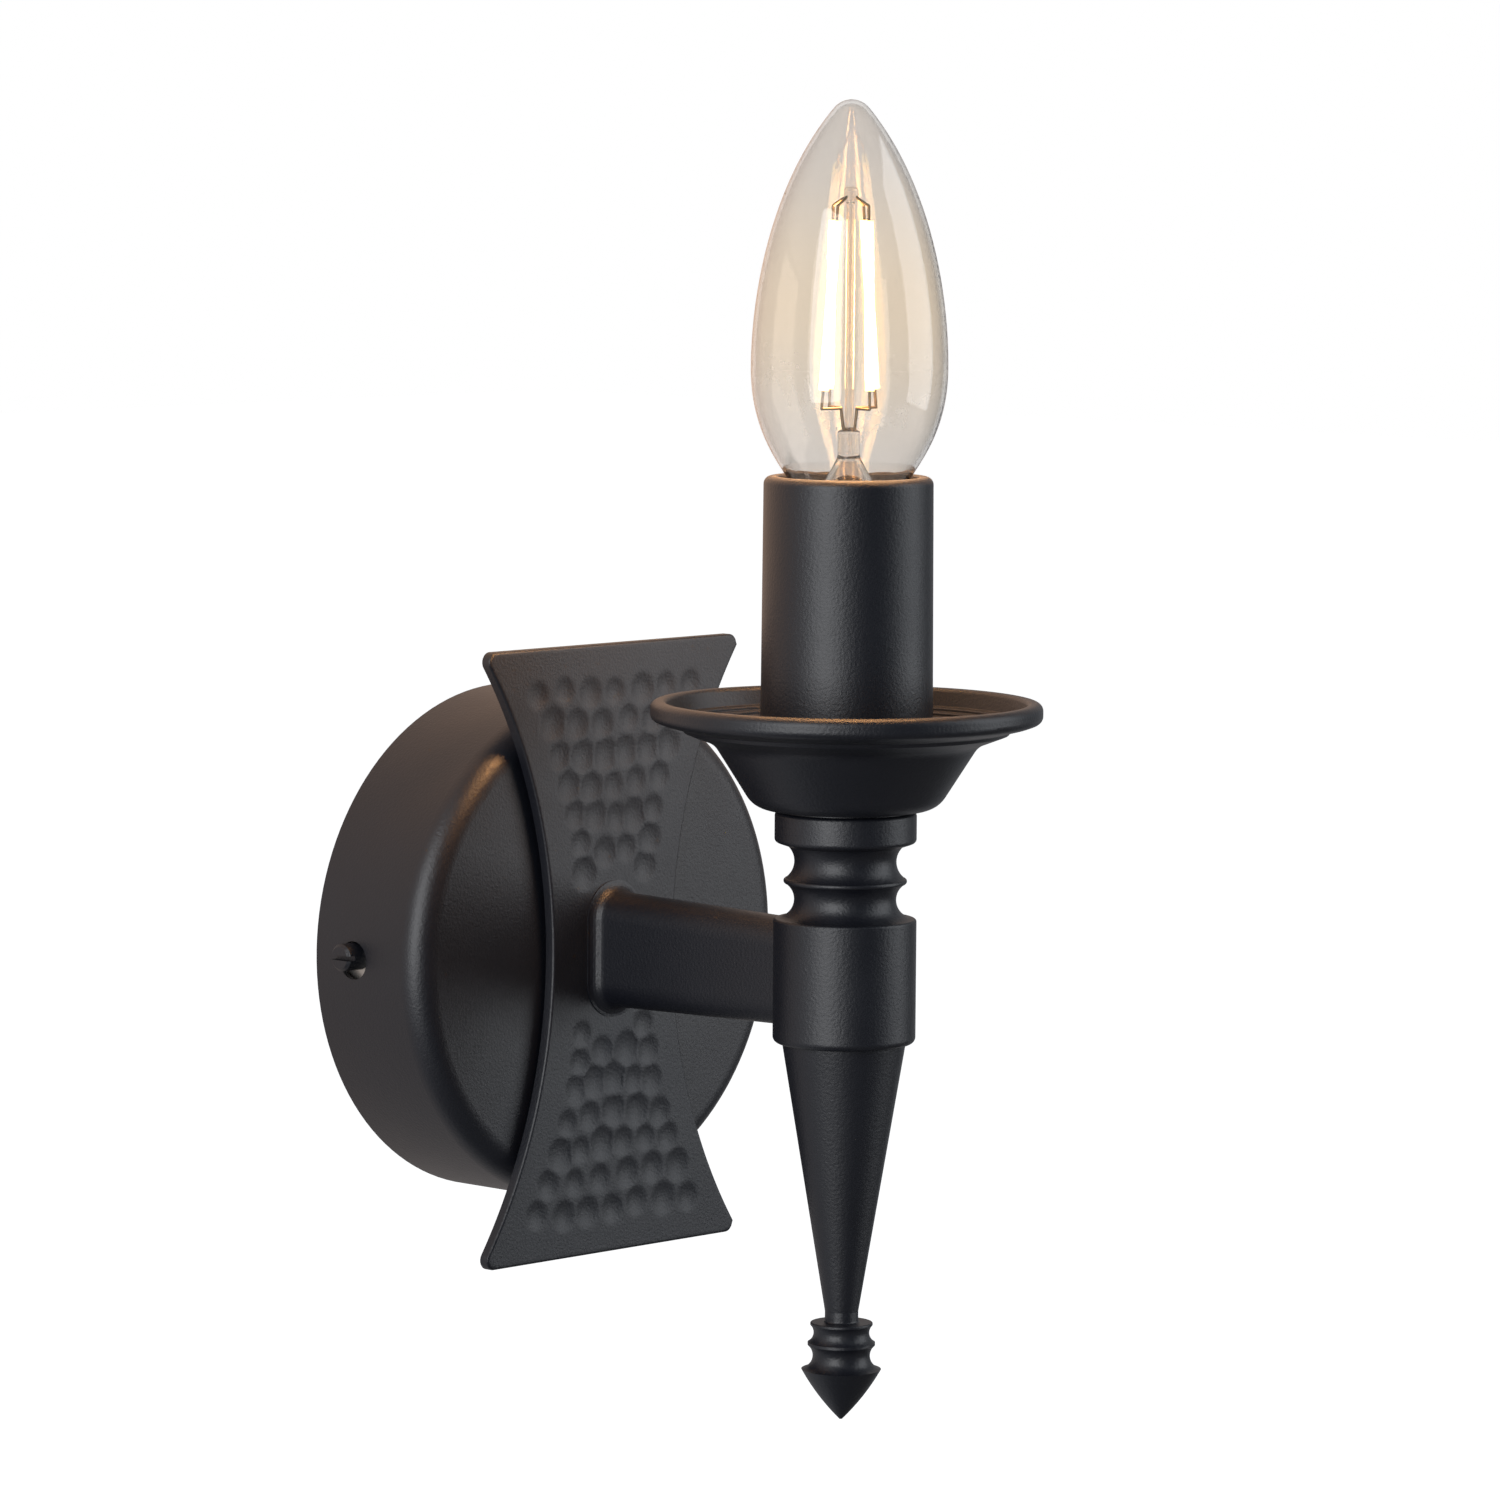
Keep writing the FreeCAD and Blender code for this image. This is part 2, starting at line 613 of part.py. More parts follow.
def on_collar_side(edge):
    """True for the edges where the arm runs into the collar's round side."""
    points = edge.discretize(3)
    on_side = all(abs(math.hypot(p.x, p.y + TORCH_AXIS_FROM_WALL) - COLLAR_RADIUS) < TINY for p in points)
    return on_side and points[1].y > -TORCH_AXIS_FROM_WALL and abs(points[1].z) < ARM_END_HALF_HEIGHT


def torch_arm():
    """Flattened arm and collar in one casting, bored for the wires, rod, cone and screws."""
    collar = turned_on_torch([
        (0, COLLAR_BOTTOM, 0), (COLLAR_RADIUS, COLLAR_BOTTOM, COLLAR_EDGE),
        (COLLAR_RADIUS, COLLAR_TOP, COLLAR_TOP_EDGE), (0, COLLAR_TOP, 0)])
    casting = collar.fuse(arm_shank())
    crease = [edge for edge in casting.Edges if on_collar_side(edge)]
    casting = casting.makeFillet(ARM_JOINT_FILLET, crease)
    cuts = [torch_post(COLLAR_BORE, COLLAR_BOTTOM, COLLAR_BORE_TOP),
            torch_post(ROD_RADIUS + THREAD_GAP, COLLAR_BORE_TOP, COLLAR_TOP), arm_channel()]
    cuts += [peg(ARM_SCREW_RADIUS + THREAD_GAP, STRAP_FRONT, STRAP_FRONT + ARM_SCREW_HOLE_DEPTH, z=z)
             for z in SCREW_HEIGHTS]
    return casting.cut(cuts)


def arm_washers():
    near = CUP_DEPTH - CUP_SHEET - WASHER_SHEET
    rings = []
    for z in SCREW_HEIGHTS:
        ring = peg(ARM_SCREW_HEAD_RADIUS, near, near + WASHER_SHEET, z=z)
        rings.append(ring.cut(peg(ARM_SCREW_RADIUS + SCREW_CLEARANCE, 0, CUP_DEPTH, z=z)))
    return group(rings)


def arm_screws():
    """Two screws from inside the cup, through spacer and strap into the arm's root."""
    seat = CUP_DEPTH - CUP_SHEET - WASHER_SHEET
    screws = []
    for z in SCREW_HEIGHTS:
        screw = slotted_screw(ARM_SCREW_RADIUS, ARM_SCREW_LENGTH, ARM_SCREW_HEAD_RADIUS, ARM_SCREW_HEAD)
        screw = screw.rotated(Vector(), Vector(1, 0, 0), -90)
        screws.append(screw.translated(Vector(0, -seat - ARM_SCREW_LENGTH, z)))
    return group(screws)


# ---------------------------------------------------------------- lower cone and finial

CONE_TIP = COLLAR_BOTTOM - CONE_LENGTH


def torch_cone():
    cone = turned_on_torch([(0, CONE_TIP, 0), (CONE_TIP_RADIUS, CONE_TIP, 0),
                            (CONE_TOP_RADIUS, COLLAR_BOTTOM, 0), (0, COLLAR_BOTTOM, 0)])
    spigot = torch_post(COLLAR_BORE - THREAD_GAP, COLLAR_BOTTOM, COLLAR_BOTTOM + CONE_SPIGOT)
    thread = torch_post(STUD_RADIUS + THREAD_GAP, CONE_TIP, CONE_TIP + STUD_LENGTH + CHAMFER)
    return cone.fuse(spigot).cut(thread)


def finial():
    """Two sharp rings and an arrow head with coves between them, on a stud."""
    ring_1 = CONE_TIP - FINIAL_NECK
    ring_2 = ring_1 - RING_PITCH
    arrow = ring_2 - ARROW_DROP
    tip = arrow - ARROW_LENGTH
    side = math.hypot(ARROW_RADIUS, ARROW_LENGTH)
    solid = turned(rounded_outline([
        (0, CONE_TIP, 0), (CONE_TIP_RADIUS, CONE_TIP, 0), (CONE_TIP_RADIUS, ring_1, FINIAL_NECK_ROUND),
        (RING_1_RADIUS, ring_1, RING_RIM / 2), (RING_1_RADIUS, ring_1 - RING_RIM, 0),
        (FINIAL_COVE_1, (ring_1 - RING_RIM + ring_2) / 2, THROUGH),
        (RING_2_RADIUS, ring_2, 0), (RING_2_RADIUS, ring_2 - RING_RIM, 0),
        (FINIAL_COVE_2, (ring_2 - RING_RIM + arrow) / 2, THROUGH), (ARROW_RADIUS, arrow, 0),
        (ARROW_RADIUS / 2 + ARROW_BULGE * ARROW_LENGTH / side,
         (arrow + tip) / 2 - ARROW_BULGE * ARROW_RADIUS / side, THROUGH),
        (ARROW_POINT, tip, 0), (0, tip, 0)]))
    stud = post(STUD_RADIUS, CONE_TIP, CONE_TIP + STUD_LENGTH)
    return solid.fuse(stud).translated(TORCH)


# ---------------------------------------------------------------- spindle, pan and rod

DISC_BOTTOM = COLLAR_TOP + NECK_HEIGHT + DISC_SLOPE
DISC_TOP = DISC_BOTTOM + DISC_HEIGHT
PAN_FLARE = DISC_TOP + PAN_FLARE_HEIGHT
PAN_RIM_TOP = DISC_TOP + PAN_RIM_HEIGHT
PAN_FLOOR = DISC_TOP + PAN_FLOOR_SHEET


def spindle():
    """A bead between two coves, under a plain disc."""
    bead = COLLAR_TOP + BEAD_HEIGHT
    solid = turned_on_torch([
        (0, COLLAR_TOP, 0), (SPINDLE_FOOT_RADIUS, COLLAR_TOP, 0),
        (COVE_RADIUS, COLLAR_TOP + COVE_LOW, THROUGH), (BEAD_RADIUS - BEAD_EDGE, bead - BEAD_HALF, 0),
        (BEAD_RADIUS, bead, THROUGH), (BEAD_RADIUS - BEAD_EDGE, bead + BEAD_HALF, 0),
        (COVE_RADIUS, COLLAR_TOP + COVE_HIGH, THROUGH), (NECK_RADIUS, COLLAR_TOP + NECK_HEIGHT, 0),
        (DISC_RADIUS, DISC_BOTTOM, DISC_EDGE), (DISC_RADIUS, DISC_TOP, DISC_EDGE), (0, DISC_TOP, 0)])
    return solid.cut(torch_post(ROD_RADIUS + ROD_CLEARANCE, COLLAR_TOP, DISC_TOP))


def brim_height(radius):
    """Height of the brim's underside, which climbs evenly from the flare."""
    return PAN_FLARE + (radius - PAN_FLARE_RADIUS) * PAN_BRIM_SLOPE


def pan_underside():
    belly = DISC_TOP + PAN_FOOT
    step = PAN_STEP_RADIUS
    rim_bottom = PAN_RIM_TOP - PAN_RIM_DEPTH
    rim_inner = PAN_RIM_RADIUS - PAN_RIM_WIDTH
    return [(PAN_FOOT_RADIUS, DISC_TOP, 0), (PAN_FOOT_RADIUS, belly, 0),
            (PAN_BELLY_RADIUS, belly, PAN_BELLY_ROUND),
            (PAN_FLARE_RADIUS, PAN_FLARE, PAN_FLARE_ROUND),
            (step, brim_height(step), PAN_STEP_WIDTH / 2),
            (step + PAN_STEP_WIDTH, brim_height(step) + PAN_STEP_HEIGHT, PAN_STEP_WIDTH / 2),
            (rim_inner + PAN_WALL / 2, rim_bottom - PAN_STEP_HEIGHT, PAN_RIM_ROUND),
            (PAN_RIM_RADIUS, rim_bottom, PAN_RIM_ROUND)]


def pan_inside():
    """The upper face from the rim inwards: lip, shelf, ledge and bowl."""
    rim_inner = PAN_RIM_RADIUS - PAN_RIM_WIDTH
    shelf_outer = rim_inner - PAN_LIP_LEAN
    shelf_inner = shelf_outer - PAN_SHELF_WIDTH
    ledge_inner = shelf_inner - PAN_LEDGE_WIDTH
    shelf = PAN_RIM_TOP - PAN_RIM_DEPTH - PAN_STEP_HEIGHT + PAN_WALL / 2
    ledge = shelf - PAN_STEP_HEIGHT
    edge = PAN_STEP_WIDTH / 2
    lean = math.radians(PAN_FLARE_LEAN)
    return [(PAN_RIM_RADIUS, PAN_RIM_TOP, PAN_RIM_ROUND), (rim_inner, PAN_RIM_TOP, PAN_LIP_LEAN),
            (shelf_outer, shelf, edge), (shelf_inner, shelf, edge),
            (shelf_inner, ledge, edge), (ledge_inner, ledge, edge),
            (ledge_inner, brim_height(ledge_inner) + PAN_WALL, edge / 2),
            (PAN_FLARE_RADIUS - PAN_WALL * math.sin(lean), PAN_FLARE + PAN_WALL * math.cos(lean),
             PAN_FLARE_ROUND / 2),
            (PAN_BELLY_RADIUS, PAN_FLOOR, PAN_WALL / 2)]


def drip_pan():
    solid = turned_on_torch([(0, DISC_TOP, 0)] + pan_underside() + pan_inside() + [(0, PAN_FLOOR, 0)])
    return solid.cut(torch_post(ROD_RADIUS + ROD_CLEARANCE, DISC_TOP, PAN_FLOOR))


NUT_BOTTOM = PAN_FLOOR + PAN_WASHER
HOLDER_BOTTOM = NUT_BOTTOM + PAN_NUT
ROD_TOP = HOLDER_BOTTOM + ROD_REACH


def threaded_rod():
    """Hollow rod: its bore takes the two wires from the collar up to the lampholder."""
    bottom = COLLAR_BORE_TOP + LOCATING_GAP
    rod = chamfered_post(ROD_RADIUS, bottom, ROD_TOP)
    return rod.cut(post(ROD_BORE, bottom, ROD_TOP)).translated(TORCH)


def pan_washer():
    ring = torch_post(PAN_WASHER_RADIUS, PAN_FLOOR, PAN_FLOOR + PAN_WASHER)
    return ring.cut(torch_post(ROD_RADIUS + ROD_CLEARANCE, PAN_FLOOR, PAN_FLOOR + PAN_WASHER))


def pan_nut():
    nut = hexagon_prism(PAN_NUT_FLATS, NUT_BOTTOM, HOLDER_BOTTOM).translated(TORCH)
    return nut.cut(torch_post(ROD_RADIUS + THREAD_GAP, NUT_BOTTOM, HOLDER_BOTTOM))


# ---------------------------------------------------------------- lampholder

HOLDER_SPLIT = HOLDER_BOTTOM + HOLDER_BASE_HEIGHT
INSERT_TOP = HOLDER_SPLIT + INSERT_HEIGHT
CAP_TIP = INSERT_TOP + CONTACT_HEIGHT + CONTACT_LIFT_OFF
CAP_THREAD_TOP = CAP_TIP + CAP_THREAD_HEIGHT
CAP_RIM_BOTTOM = CAP_THREAD_TOP + CAP_FLARE
CAP_RIM_TOP = CAP_RIM_BOTTOM + CAP_RIM
SHELL_INNER = CAP_RADIUS + TURNING_GAP
SHELL_OUTER = SHELL_INNER + SHELL_SHEET
SHELL_BOTTOM = INSERT_TOP + SHELL_END
SHELL_TOP = CAP_THREAD_TOP - TURNING_GAP
HOLDER_TOP = CAP_RIM_TOP - HOLDER_SINK
HOLDER_MOUTH_RADIUS = CAP_RIM_RADIUS + HOLDER_MOUTH_GAP
SLEEVE_TOP = HOLDER_TOP + SLEEVE_OVERHANG
TERMINAL_TOP = HOLDER_SPLIT
TERMINAL_MIDDLE = TERMINAL_TOP - TERMINAL_HEIGHT / 2


def holder_base():
    """The lower cup of the lampholder, screwed on to the rod down to the nut."""
    body = torch_post(HOLDER_RADIUS, HOLDER_BOTTOM, HOLDER_SPLIT)
    chamber = torch_post(HOLDER_RADIUS - HOLDER_WALL, HOLDER_BOTTOM + HOLDER_FLOOR, HOLDER_SPLIT)
    boss = torch_post(HOLDER_BOSS_RADIUS, HOLDER_BOTTOM, ROD_TOP)
    thread = torch_post(ROD_RADIUS + THREAD_GAP, HOLDER_BOTTOM, ROD_TOP)
    access = crossbar(ACCESS_HOLE_RADIUS, -HOLDER_RADIUS, HOLDER_RADIUS, -TORCH_AXIS_FROM_WALL,
                      TERMINAL_MIDDLE)
    return body.cut(chamber).fuse(boss).cut([thread, access]).removeSplitter()


def holder_insert():
    return torch_post(INSERT_RADIUS, HOLDER_SPLIT, INSERT_TOP)


def holder_rib(angle):
    reach = SLEEVE_TOP_RADIUS - SLEEVE_WALL - HOLDER_RIB_GAP
    rib = block(HOLDER_NECK_RADIUS - HOLDER_WALL, reach, -HOLDER_RIB_WIDTH / 2, HOLDER_RIB_WIDTH / 2,
                INSERT_TOP + HOLDER_RIB_END, HOLDER_TOP - HOLDER_RIB_END)
    return rib.rotated(Vector(), UP, angle).translated(TORCH)


def holder_barrel():
    """The upper part of the lampholder, ribbed to centre the candle sleeve."""
    body = turned_on_torch([
        (0, HOLDER_SPLIT, 0), (HOLDER_RADIUS, HOLDER_SPLIT, 0), (HOLDER_RADIUS, INSERT_TOP, 0),
        (HOLDER_NECK_RADIUS, INSERT_TOP + CHAMFER, 0), (HOLDER_NECK_RADIUS, HOLDER_TOP, CHAMFER),
        (0, HOLDER_TOP, 0)])
    ribs = [holder_rib(HOLDER_RIB_TURN + 360 * i / HOLDER_RIBS) for i in range(HOLDER_RIBS)]
    cuts = [torch_post(INSERT_RADIUS + SEAT_GAP, HOLDER_SPLIT, INSERT_TOP),
            torch_post(SHELL_INNER, INSERT_TOP, SHELL_BOTTOM),
            torch_post(SHELL_OUTER + SEAT_GAP, SHELL_BOTTOM, SHELL_TOP),
            torch_post(HOLDER_MOUTH_RADIUS, SHELL_TOP, HOLDER_TOP)]
    return body.fuse(ribs).cut(cuts)


def holder_shell():
    """The brass screw shell that grips the bulb's cap."""
    tube = torch_post(SHELL_OUTER, SHELL_BOTTOM, SHELL_TOP)
    return tube.cut(torch_post(SHELL_INNER, SHELL_BOTTOM, SHELL_TOP))


def holder_contact():
    """The centre contact: a cranked spring strip that the cap's tip comes down on."""
    foot = INSERT_TOP
    top = CAP_TIP - CONTACT_LIFT_OFF
    strip = CONTACT_STRIP
    corners = [(-CONTACT_FOOT - CONTACT_HALF_TOP, foot, 0), (-CONTACT_HALF_TOP - strip, foot, 0),
               (-CONTACT_HALF_TOP, top - strip, 0), (CONTACT_HALF_TOP, top - strip, 0),
               (CONTACT_HALF_TOP + strip * 2, top, 0), (-CONTACT_HALF_TOP - strip, top, 0),
               (-CONTACT_HALF_TOP - strip * 2, foot + strip, 0),
               (-CONTACT_FOOT - CONTACT_HALF_TOP, foot + strip, 0)]
    profile = Part.Face(rounded_outline(corners)).extrude(Vector(0, CONTACT_WIDTH, 0))
    return profile.translated(TORCH - Vector(0, CONTACT_WIDTH / 2, 0))


def holder_terminals():
    """Two brass terminals under the insert, each tapped from the side."""
    shape = block(TERMINAL_X - TERMINAL_WIDTH / 2, TERMINAL_X + TERMINAL_WIDTH / 2, -TERMINAL_DEPTH / 2,
                  TERMINAL_DEPTH / 2, TERMINAL_TOP - TERMINAL_HEIGHT, TERMINAL_TOP)
    thread = crossbar(TERMINAL_SCREW_RADIUS + THREAD_GAP, 0, HOLDER_RADIUS, 0, TERMINAL_MIDDLE)
    return group([side.translated(TORCH) for side in both_sides(shape.cut(thread))])


def holder_terminal_screws():
    outer = TERMINAL_X + TERMINAL_WIDTH / 2
    screw = crossbar(TERMINAL_SCREW_RADIUS, outer - TERMINAL_SCREW_LENGTH, outer, 0, TERMINAL_MIDDLE)
    slot = block(outer - SLOT_CUT, outer, -SLOT_WIDTH / 2, SLOT_WIDTH / 2,
                 TERMINAL_MIDDLE - TERMINAL_SCREW_RADIUS, TERMINAL_MIDDLE + TERMINAL_SCREW_RADIUS)
    return group([side.translated(TORCH) for side in both_sides(screw.cut(slot))])


def candle_sleeve():
    """The tube that hides the lampholder, standing on the pan's floor."""
    slope = (SLEEVE_BOTTOM_RADIUS - SLEEVE_TOP_RADIUS) / (SLEEVE_TOP - PAN_FLOOR)
    inner_top = SLEEVE_TOP_RADIUS + slope * SLEEVE_LIP - SLEEVE_WALL
    return turned_on_torch([
        (SLEEVE_BOTTOM_RADIUS - SLEEVE_WALL, PAN_FLOOR, 0), (SLEEVE_BOTTOM_RADIUS, PAN_FLOOR, 0),
        (SLEEVE_TOP_RADIUS, SLEEVE_TOP, SLEEVE_EDGE), (SLEEVE_MOUTH_RADIUS, SLEEVE_TOP, SLEEVE_LIP / 3),
        (SLEEVE_MOUTH_RADIUS, SLEEVE_TOP - SLEEVE_LIP, 0), (inner_top, SLEEVE_TOP - SLEEVE_LIP, 0)])


# ---------------------------------------------------------------- bulb

BULB_TOP = CAP_TIP + BULB_LENGTH
BULB_NECK = CAP_RIM_TOP - BULB_NECK_SINK
BULB_WIDEST = BULB_NECK + BULB_BELLY
STEM_SHOULDER = BULB_NECK + STEM_SKIRT
STEM_PINCH_TOP = STEM_SHOULDER + STEM_PINCH
STEM_HUB_BOTTOM = STEM_PINCH_TOP + STEM_ROD
STEM_TOP = STEM_HUB_BOTTOM + STEM_HUB
FILAMENT_TOP = STEM_HUB_BOTTOM - FILAMENT_DROP
FILAMENT_BOTTOM = FILAMENT_TOP - FILAMENT_HEIGHT


def bezier(*points):
    curve = Part.BezierCurve()
    curve.setPoles([Vector(r, 0, z) for r, z in points])
    return curve.toShape()


def glass_edges(inset):
    """Neck, belly and shoulder of the glass, with the tip's arc, from the cap up to the axis."""
    lean = math.radians(BULB_TIP_SLOPE)
    tip_round = BULB_TIP_ROUND - inset
    tip_centre = BULB_TOP - BULB_TIP_ROUND
    tip = (tip_round * math.cos(lean), tip_centre + tip_round * math.sin(lean))
    widest = BULB_RADIUS - inset
    neck = BULB_NECK_RADIUS - inset
    low = bezier((neck, BULB_NECK), (neck, BULB_NECK + BULB_NECK_PULL),
                 (widest, BULB_WIDEST - BULB_LOW_PULL), (widest, BULB_WIDEST))
    pull = (tip[0] + BULB_TIP_PULL * math.sin(lean), tip[1] - BULB_TIP_PULL * math.cos(lean))
    high = bezier((widest, BULB_WIDEST), (widest, BULB_WIDEST + BULB_HIGH_PULL), pull, tip)
    half = (lean + math.pi / 2) / 2
    middle = Vector(tip_round * math.cos(half), 0, tip_centre + tip_round * math.sin(half))
    cap = Part.Arc(Vector(tip[0], 0, tip[1]), middle, Vector(0, 0, tip_centre + tip_round)).toShape()
    return [low, high, cap]


def bulb_glass():
    outer = glass_edges(0)
    inner = glass_edges(GLASS_WALL)
    axis = Part.LineSegment(Vector(0, 0, BULB_TOP), Vector(0, 0, BULB_TOP - GLASS_WALL)).toShape()
    foot = Part.LineSegment(Vector(BULB_NECK_RADIUS - GLASS_WALL, 0, BULB_NECK),
                            Vector(BULB_NECK_RADIUS, 0, BULB_NECK)).toShape()
    wire = Part.Wire(outer + [axis] + inner[::-1] + [foot])
    return turned(wire).translated(TORCH)


def bulb_stem():
    """Glass mount: a flared skirt, the pinch over it and the slim rod that holds the filaments."""
    wall = GLASS_WALL
    skirt = BULB_NECK_RADIUS - wall - SEAT_GAP
    return turned_on_torch([
        (skirt - wall, BULB_NECK, 0), (skirt, BULB_NECK, 0),
        (STEM_PINCH_RADIUS, STEM_SHOULDER, STEM_PINCH_RADIUS), (STEM_PINCH_RADIUS, STEM_PINCH_TOP, wall),
        (STEM_ROD_RADIUS, STEM_PINCH_TOP + wall, 0), (STEM_ROD_RADIUS, STEM_HUB_BOTTOM, 0),
        (STEM_HUB_RADIUS, STEM_HUB_BOTTOM + wall, 0), (STEM_HUB_RADIUS, STEM_TOP, wall),
        (0, STEM_TOP, 0), (0, STEM_SHOULDER - wall, 0),
        (STEM_PINCH_RADIUS - wall, STEM_SHOULDER - wall, 0)])


def around(radius, angle, z):
    """A point about the torch's axis."""
    turn = math.radians(angle)
    return Vector(radius * math.cos(turn), radius * math.sin(turn), z) + TORCH


def filament_ends(index):
    turn = FILAMENT_TURN + 360 * index / FILAMENTS
    top = around(FILAMENT_TOP_SPREAD, turn - FILAMENT_TWIST, FILAMENT_TOP)
    bottom = around(FILAMENT_BOTTOM_SPREAD, turn + FILAMENT_TWIST, FILAMENT_BOTTOM)
    return top, bottom


def wire_between(start, end):
    return Part.makeCylinder(WIRE_RADIUS, start.distanceToPoint(end), start, end - start)


def bulb_filaments():
    sticks = []
    for i in range(FILAMENTS):
        top, bottom = filament_ends(i)
        length = top.distanceToPoint(bottom)
        sticks.append(Part.makeCylinder(FILAMENT_RADIUS, length, bottom, top - bottom))
    return group(sticks)


def bulb_wires():
    """Hooks from the stem's hub down to the filaments, and the leads from their feet to the pinch."""
    wires = []
    for i in range(FILAMENTS):
        top, bottom = filament_ends(i)
        along = (top - bottom).normalize()
        hub = around(STEM_HUB_RADIUS - GLASS_WALL, FILAMENT_TURN + 360 * i / FILAMENTS,
                     (STEM_HUB_BOTTOM + STEM_TOP) / 2)
        elbow = top + along * HOOK_STRAIGHT
        hook = wire_between(top, elbow).fuse([wire_between(elbow, hub),
                                              Part.makeSphere(WIRE_RADIUS, elbow)])
        knee = bottom - along * LEAD_DROP
        inner = around(STEM_ROD_RADIUS + LEAD_RUN, FILAMENT_TURN + 360 * i / FILAMENTS, knee.z)
        pinch = around(STEM_PINCH_RADIUS - GLASS_WALL, FILAMENT_TURN + 360 * i / FILAMENTS,
                       STEM_PINCH_TOP - GLASS_WALL)
        lead = wire_between(bottom, knee).fuse([
            wire_between(knee, inner), wire_between(inner, pinch), Part.makeSphere(WIRE_RADIUS, knee),
            Part.makeSphere(WIRE_RADIUS, inner)])
        wires += [hook, lead]
    stem = bulb_stem()
    return group([wire.cut(stem).Solids[0] for wire in wires])


CAP_BOTTOM = CAP_TIP + CAP_CONTACT + CAP_INSULATOR
CAP_INNER = CAP_RADIUS - CAP_SHEET


def bulb_cap():
    """The metal screw shell, flared over the neck of the glass."""
    sheet = CAP_SHEET
    return turned_on_torch([
        (CAP_BOTTOM_RADIUS, CAP_BOTTOM, 0), (CAP_RADIUS, CAP_BOTTOM + CAP_BOTTOM_ROUND, CAP_BOTTOM_ROUND),
        (CAP_RADIUS, CAP_THREAD_TOP, CHAMFER), (CAP_RIM_RADIUS, CAP_RIM_BOTTOM, CHAMFER),
        (CAP_RIM_RADIUS, CAP_RIM_TOP, 0), (CAP_RIM_RADIUS - sheet, CAP_RIM_TOP, 0),
        (CAP_RIM_RADIUS - sheet, CAP_RIM_BOTTOM + sheet / 2, CHAMFER),
        (CAP_INNER, CAP_THREAD_TOP + sheet / 2, CHAMFER),
        (CAP_INNER, CAP_BOTTOM + CAP_BOTTOM_ROUND + sheet / 2, 0),
        (CAP_BOTTOM_RADIUS, CAP_BOTTOM + sheet, 0)])


def bulb_cap_insulator():
    """The dark glass bead between the shell and the centre contact."""
    return turned_on_torch([
        (0, CAP_TIP + CAP_CONTACT, 0), (CAP_CONTACT_RADIUS + CHAMFER, CAP_TIP + CAP_CONTACT, CHAMFER),
        (CAP_BOTTOM_RADIUS - SEAT_GAP, CAP_BOTTOM, 0),
        (CAP_BOTTOM_RADIUS - SEAT_GAP, CAP_BOTTOM + CHAMFER, 0), (0, CAP_BOTTOM + CHAMFER, 0)])


def bulb_cap_contact():
    return turned_on_torch([
        (0, CAP_TIP, 0), (CAP_TIP_RADIUS, CAP_TIP, 0),
        (CAP_CONTACT_RADIUS, CAP_TIP + CAP_CONTACT, 0), (0, CAP_TIP + CAP_CONTACT, 0)])


# ---------------------------------------------------------------- export

SUB_PARTS = [
    wall_bracket, bracket_ears, cup_lock_screws, terminal_block, terminal_barrels, terminal_clamp_screws,
    terminal_fixing_screw, earth_screw, earth_washer, wall_cup, strap_spacer, hammered_strap,
    torch_arm, arm_screws, arm_washers, torch_cone, finial, spindle, drip_pan, threaded_rod,
    pan_washer, pan_nut, holder_base, holder_insert, holder_barrel, holder_shell, holder_contact,
    holder_terminals, holder_terminal_screws, candle_sleeve, bulb_glass, bulb_stem, bulb_filaments,
    bulb_wires, bulb_cap, bulb_cap_insulator, bulb_cap_contact]

os.makedirs("parts", exist_ok=True)
for sub_part in SUB_PARTS:
    shape = sub_part()
    shape.exportStep("parts/" + sub_part.__name__ + ".step")
    print(sub_part.__name__, "solids", len(shape.Solids), "valid", shape.isValid(),
          "volume %.1f" % shape.Volume)
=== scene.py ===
import math

import bmesh
import bpy
from mathutils import Matrix, Vector


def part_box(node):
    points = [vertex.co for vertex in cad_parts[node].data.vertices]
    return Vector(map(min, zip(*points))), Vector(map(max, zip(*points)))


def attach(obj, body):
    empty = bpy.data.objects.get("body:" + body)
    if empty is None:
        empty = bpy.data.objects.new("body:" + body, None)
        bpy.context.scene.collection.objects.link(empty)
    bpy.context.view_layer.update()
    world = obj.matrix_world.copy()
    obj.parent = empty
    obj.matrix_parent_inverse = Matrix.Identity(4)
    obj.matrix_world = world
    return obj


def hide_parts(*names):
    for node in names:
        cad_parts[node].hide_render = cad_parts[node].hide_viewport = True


# Torch sconce.  Metres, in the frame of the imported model: +Z up, the wall is the plane Y = 0,
# the front faces -Y and the origin is the middle of the wall cup's open back.

MM = 0.001

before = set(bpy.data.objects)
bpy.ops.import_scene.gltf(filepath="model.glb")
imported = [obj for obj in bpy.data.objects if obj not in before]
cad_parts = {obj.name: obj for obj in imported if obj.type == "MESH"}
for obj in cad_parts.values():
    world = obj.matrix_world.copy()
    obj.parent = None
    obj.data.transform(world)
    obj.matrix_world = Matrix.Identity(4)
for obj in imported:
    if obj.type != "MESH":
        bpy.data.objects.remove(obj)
bpy.context.view_layer.update()

# ---- camera, a long lens to the left of the lamp's front; the turns say where it looks ----
CAMERA_PLACE = Vector((-943.2, -957.5, 168.1)) * MM
CAMERA_TURN = math.radians(46.54)
CAMERA_DIP = math.radians(5.67)
CAMERA_ROLL = math.radians(0.41)
CAMERA_LENS = 174.3
CAMERA_SENSOR = 36.0

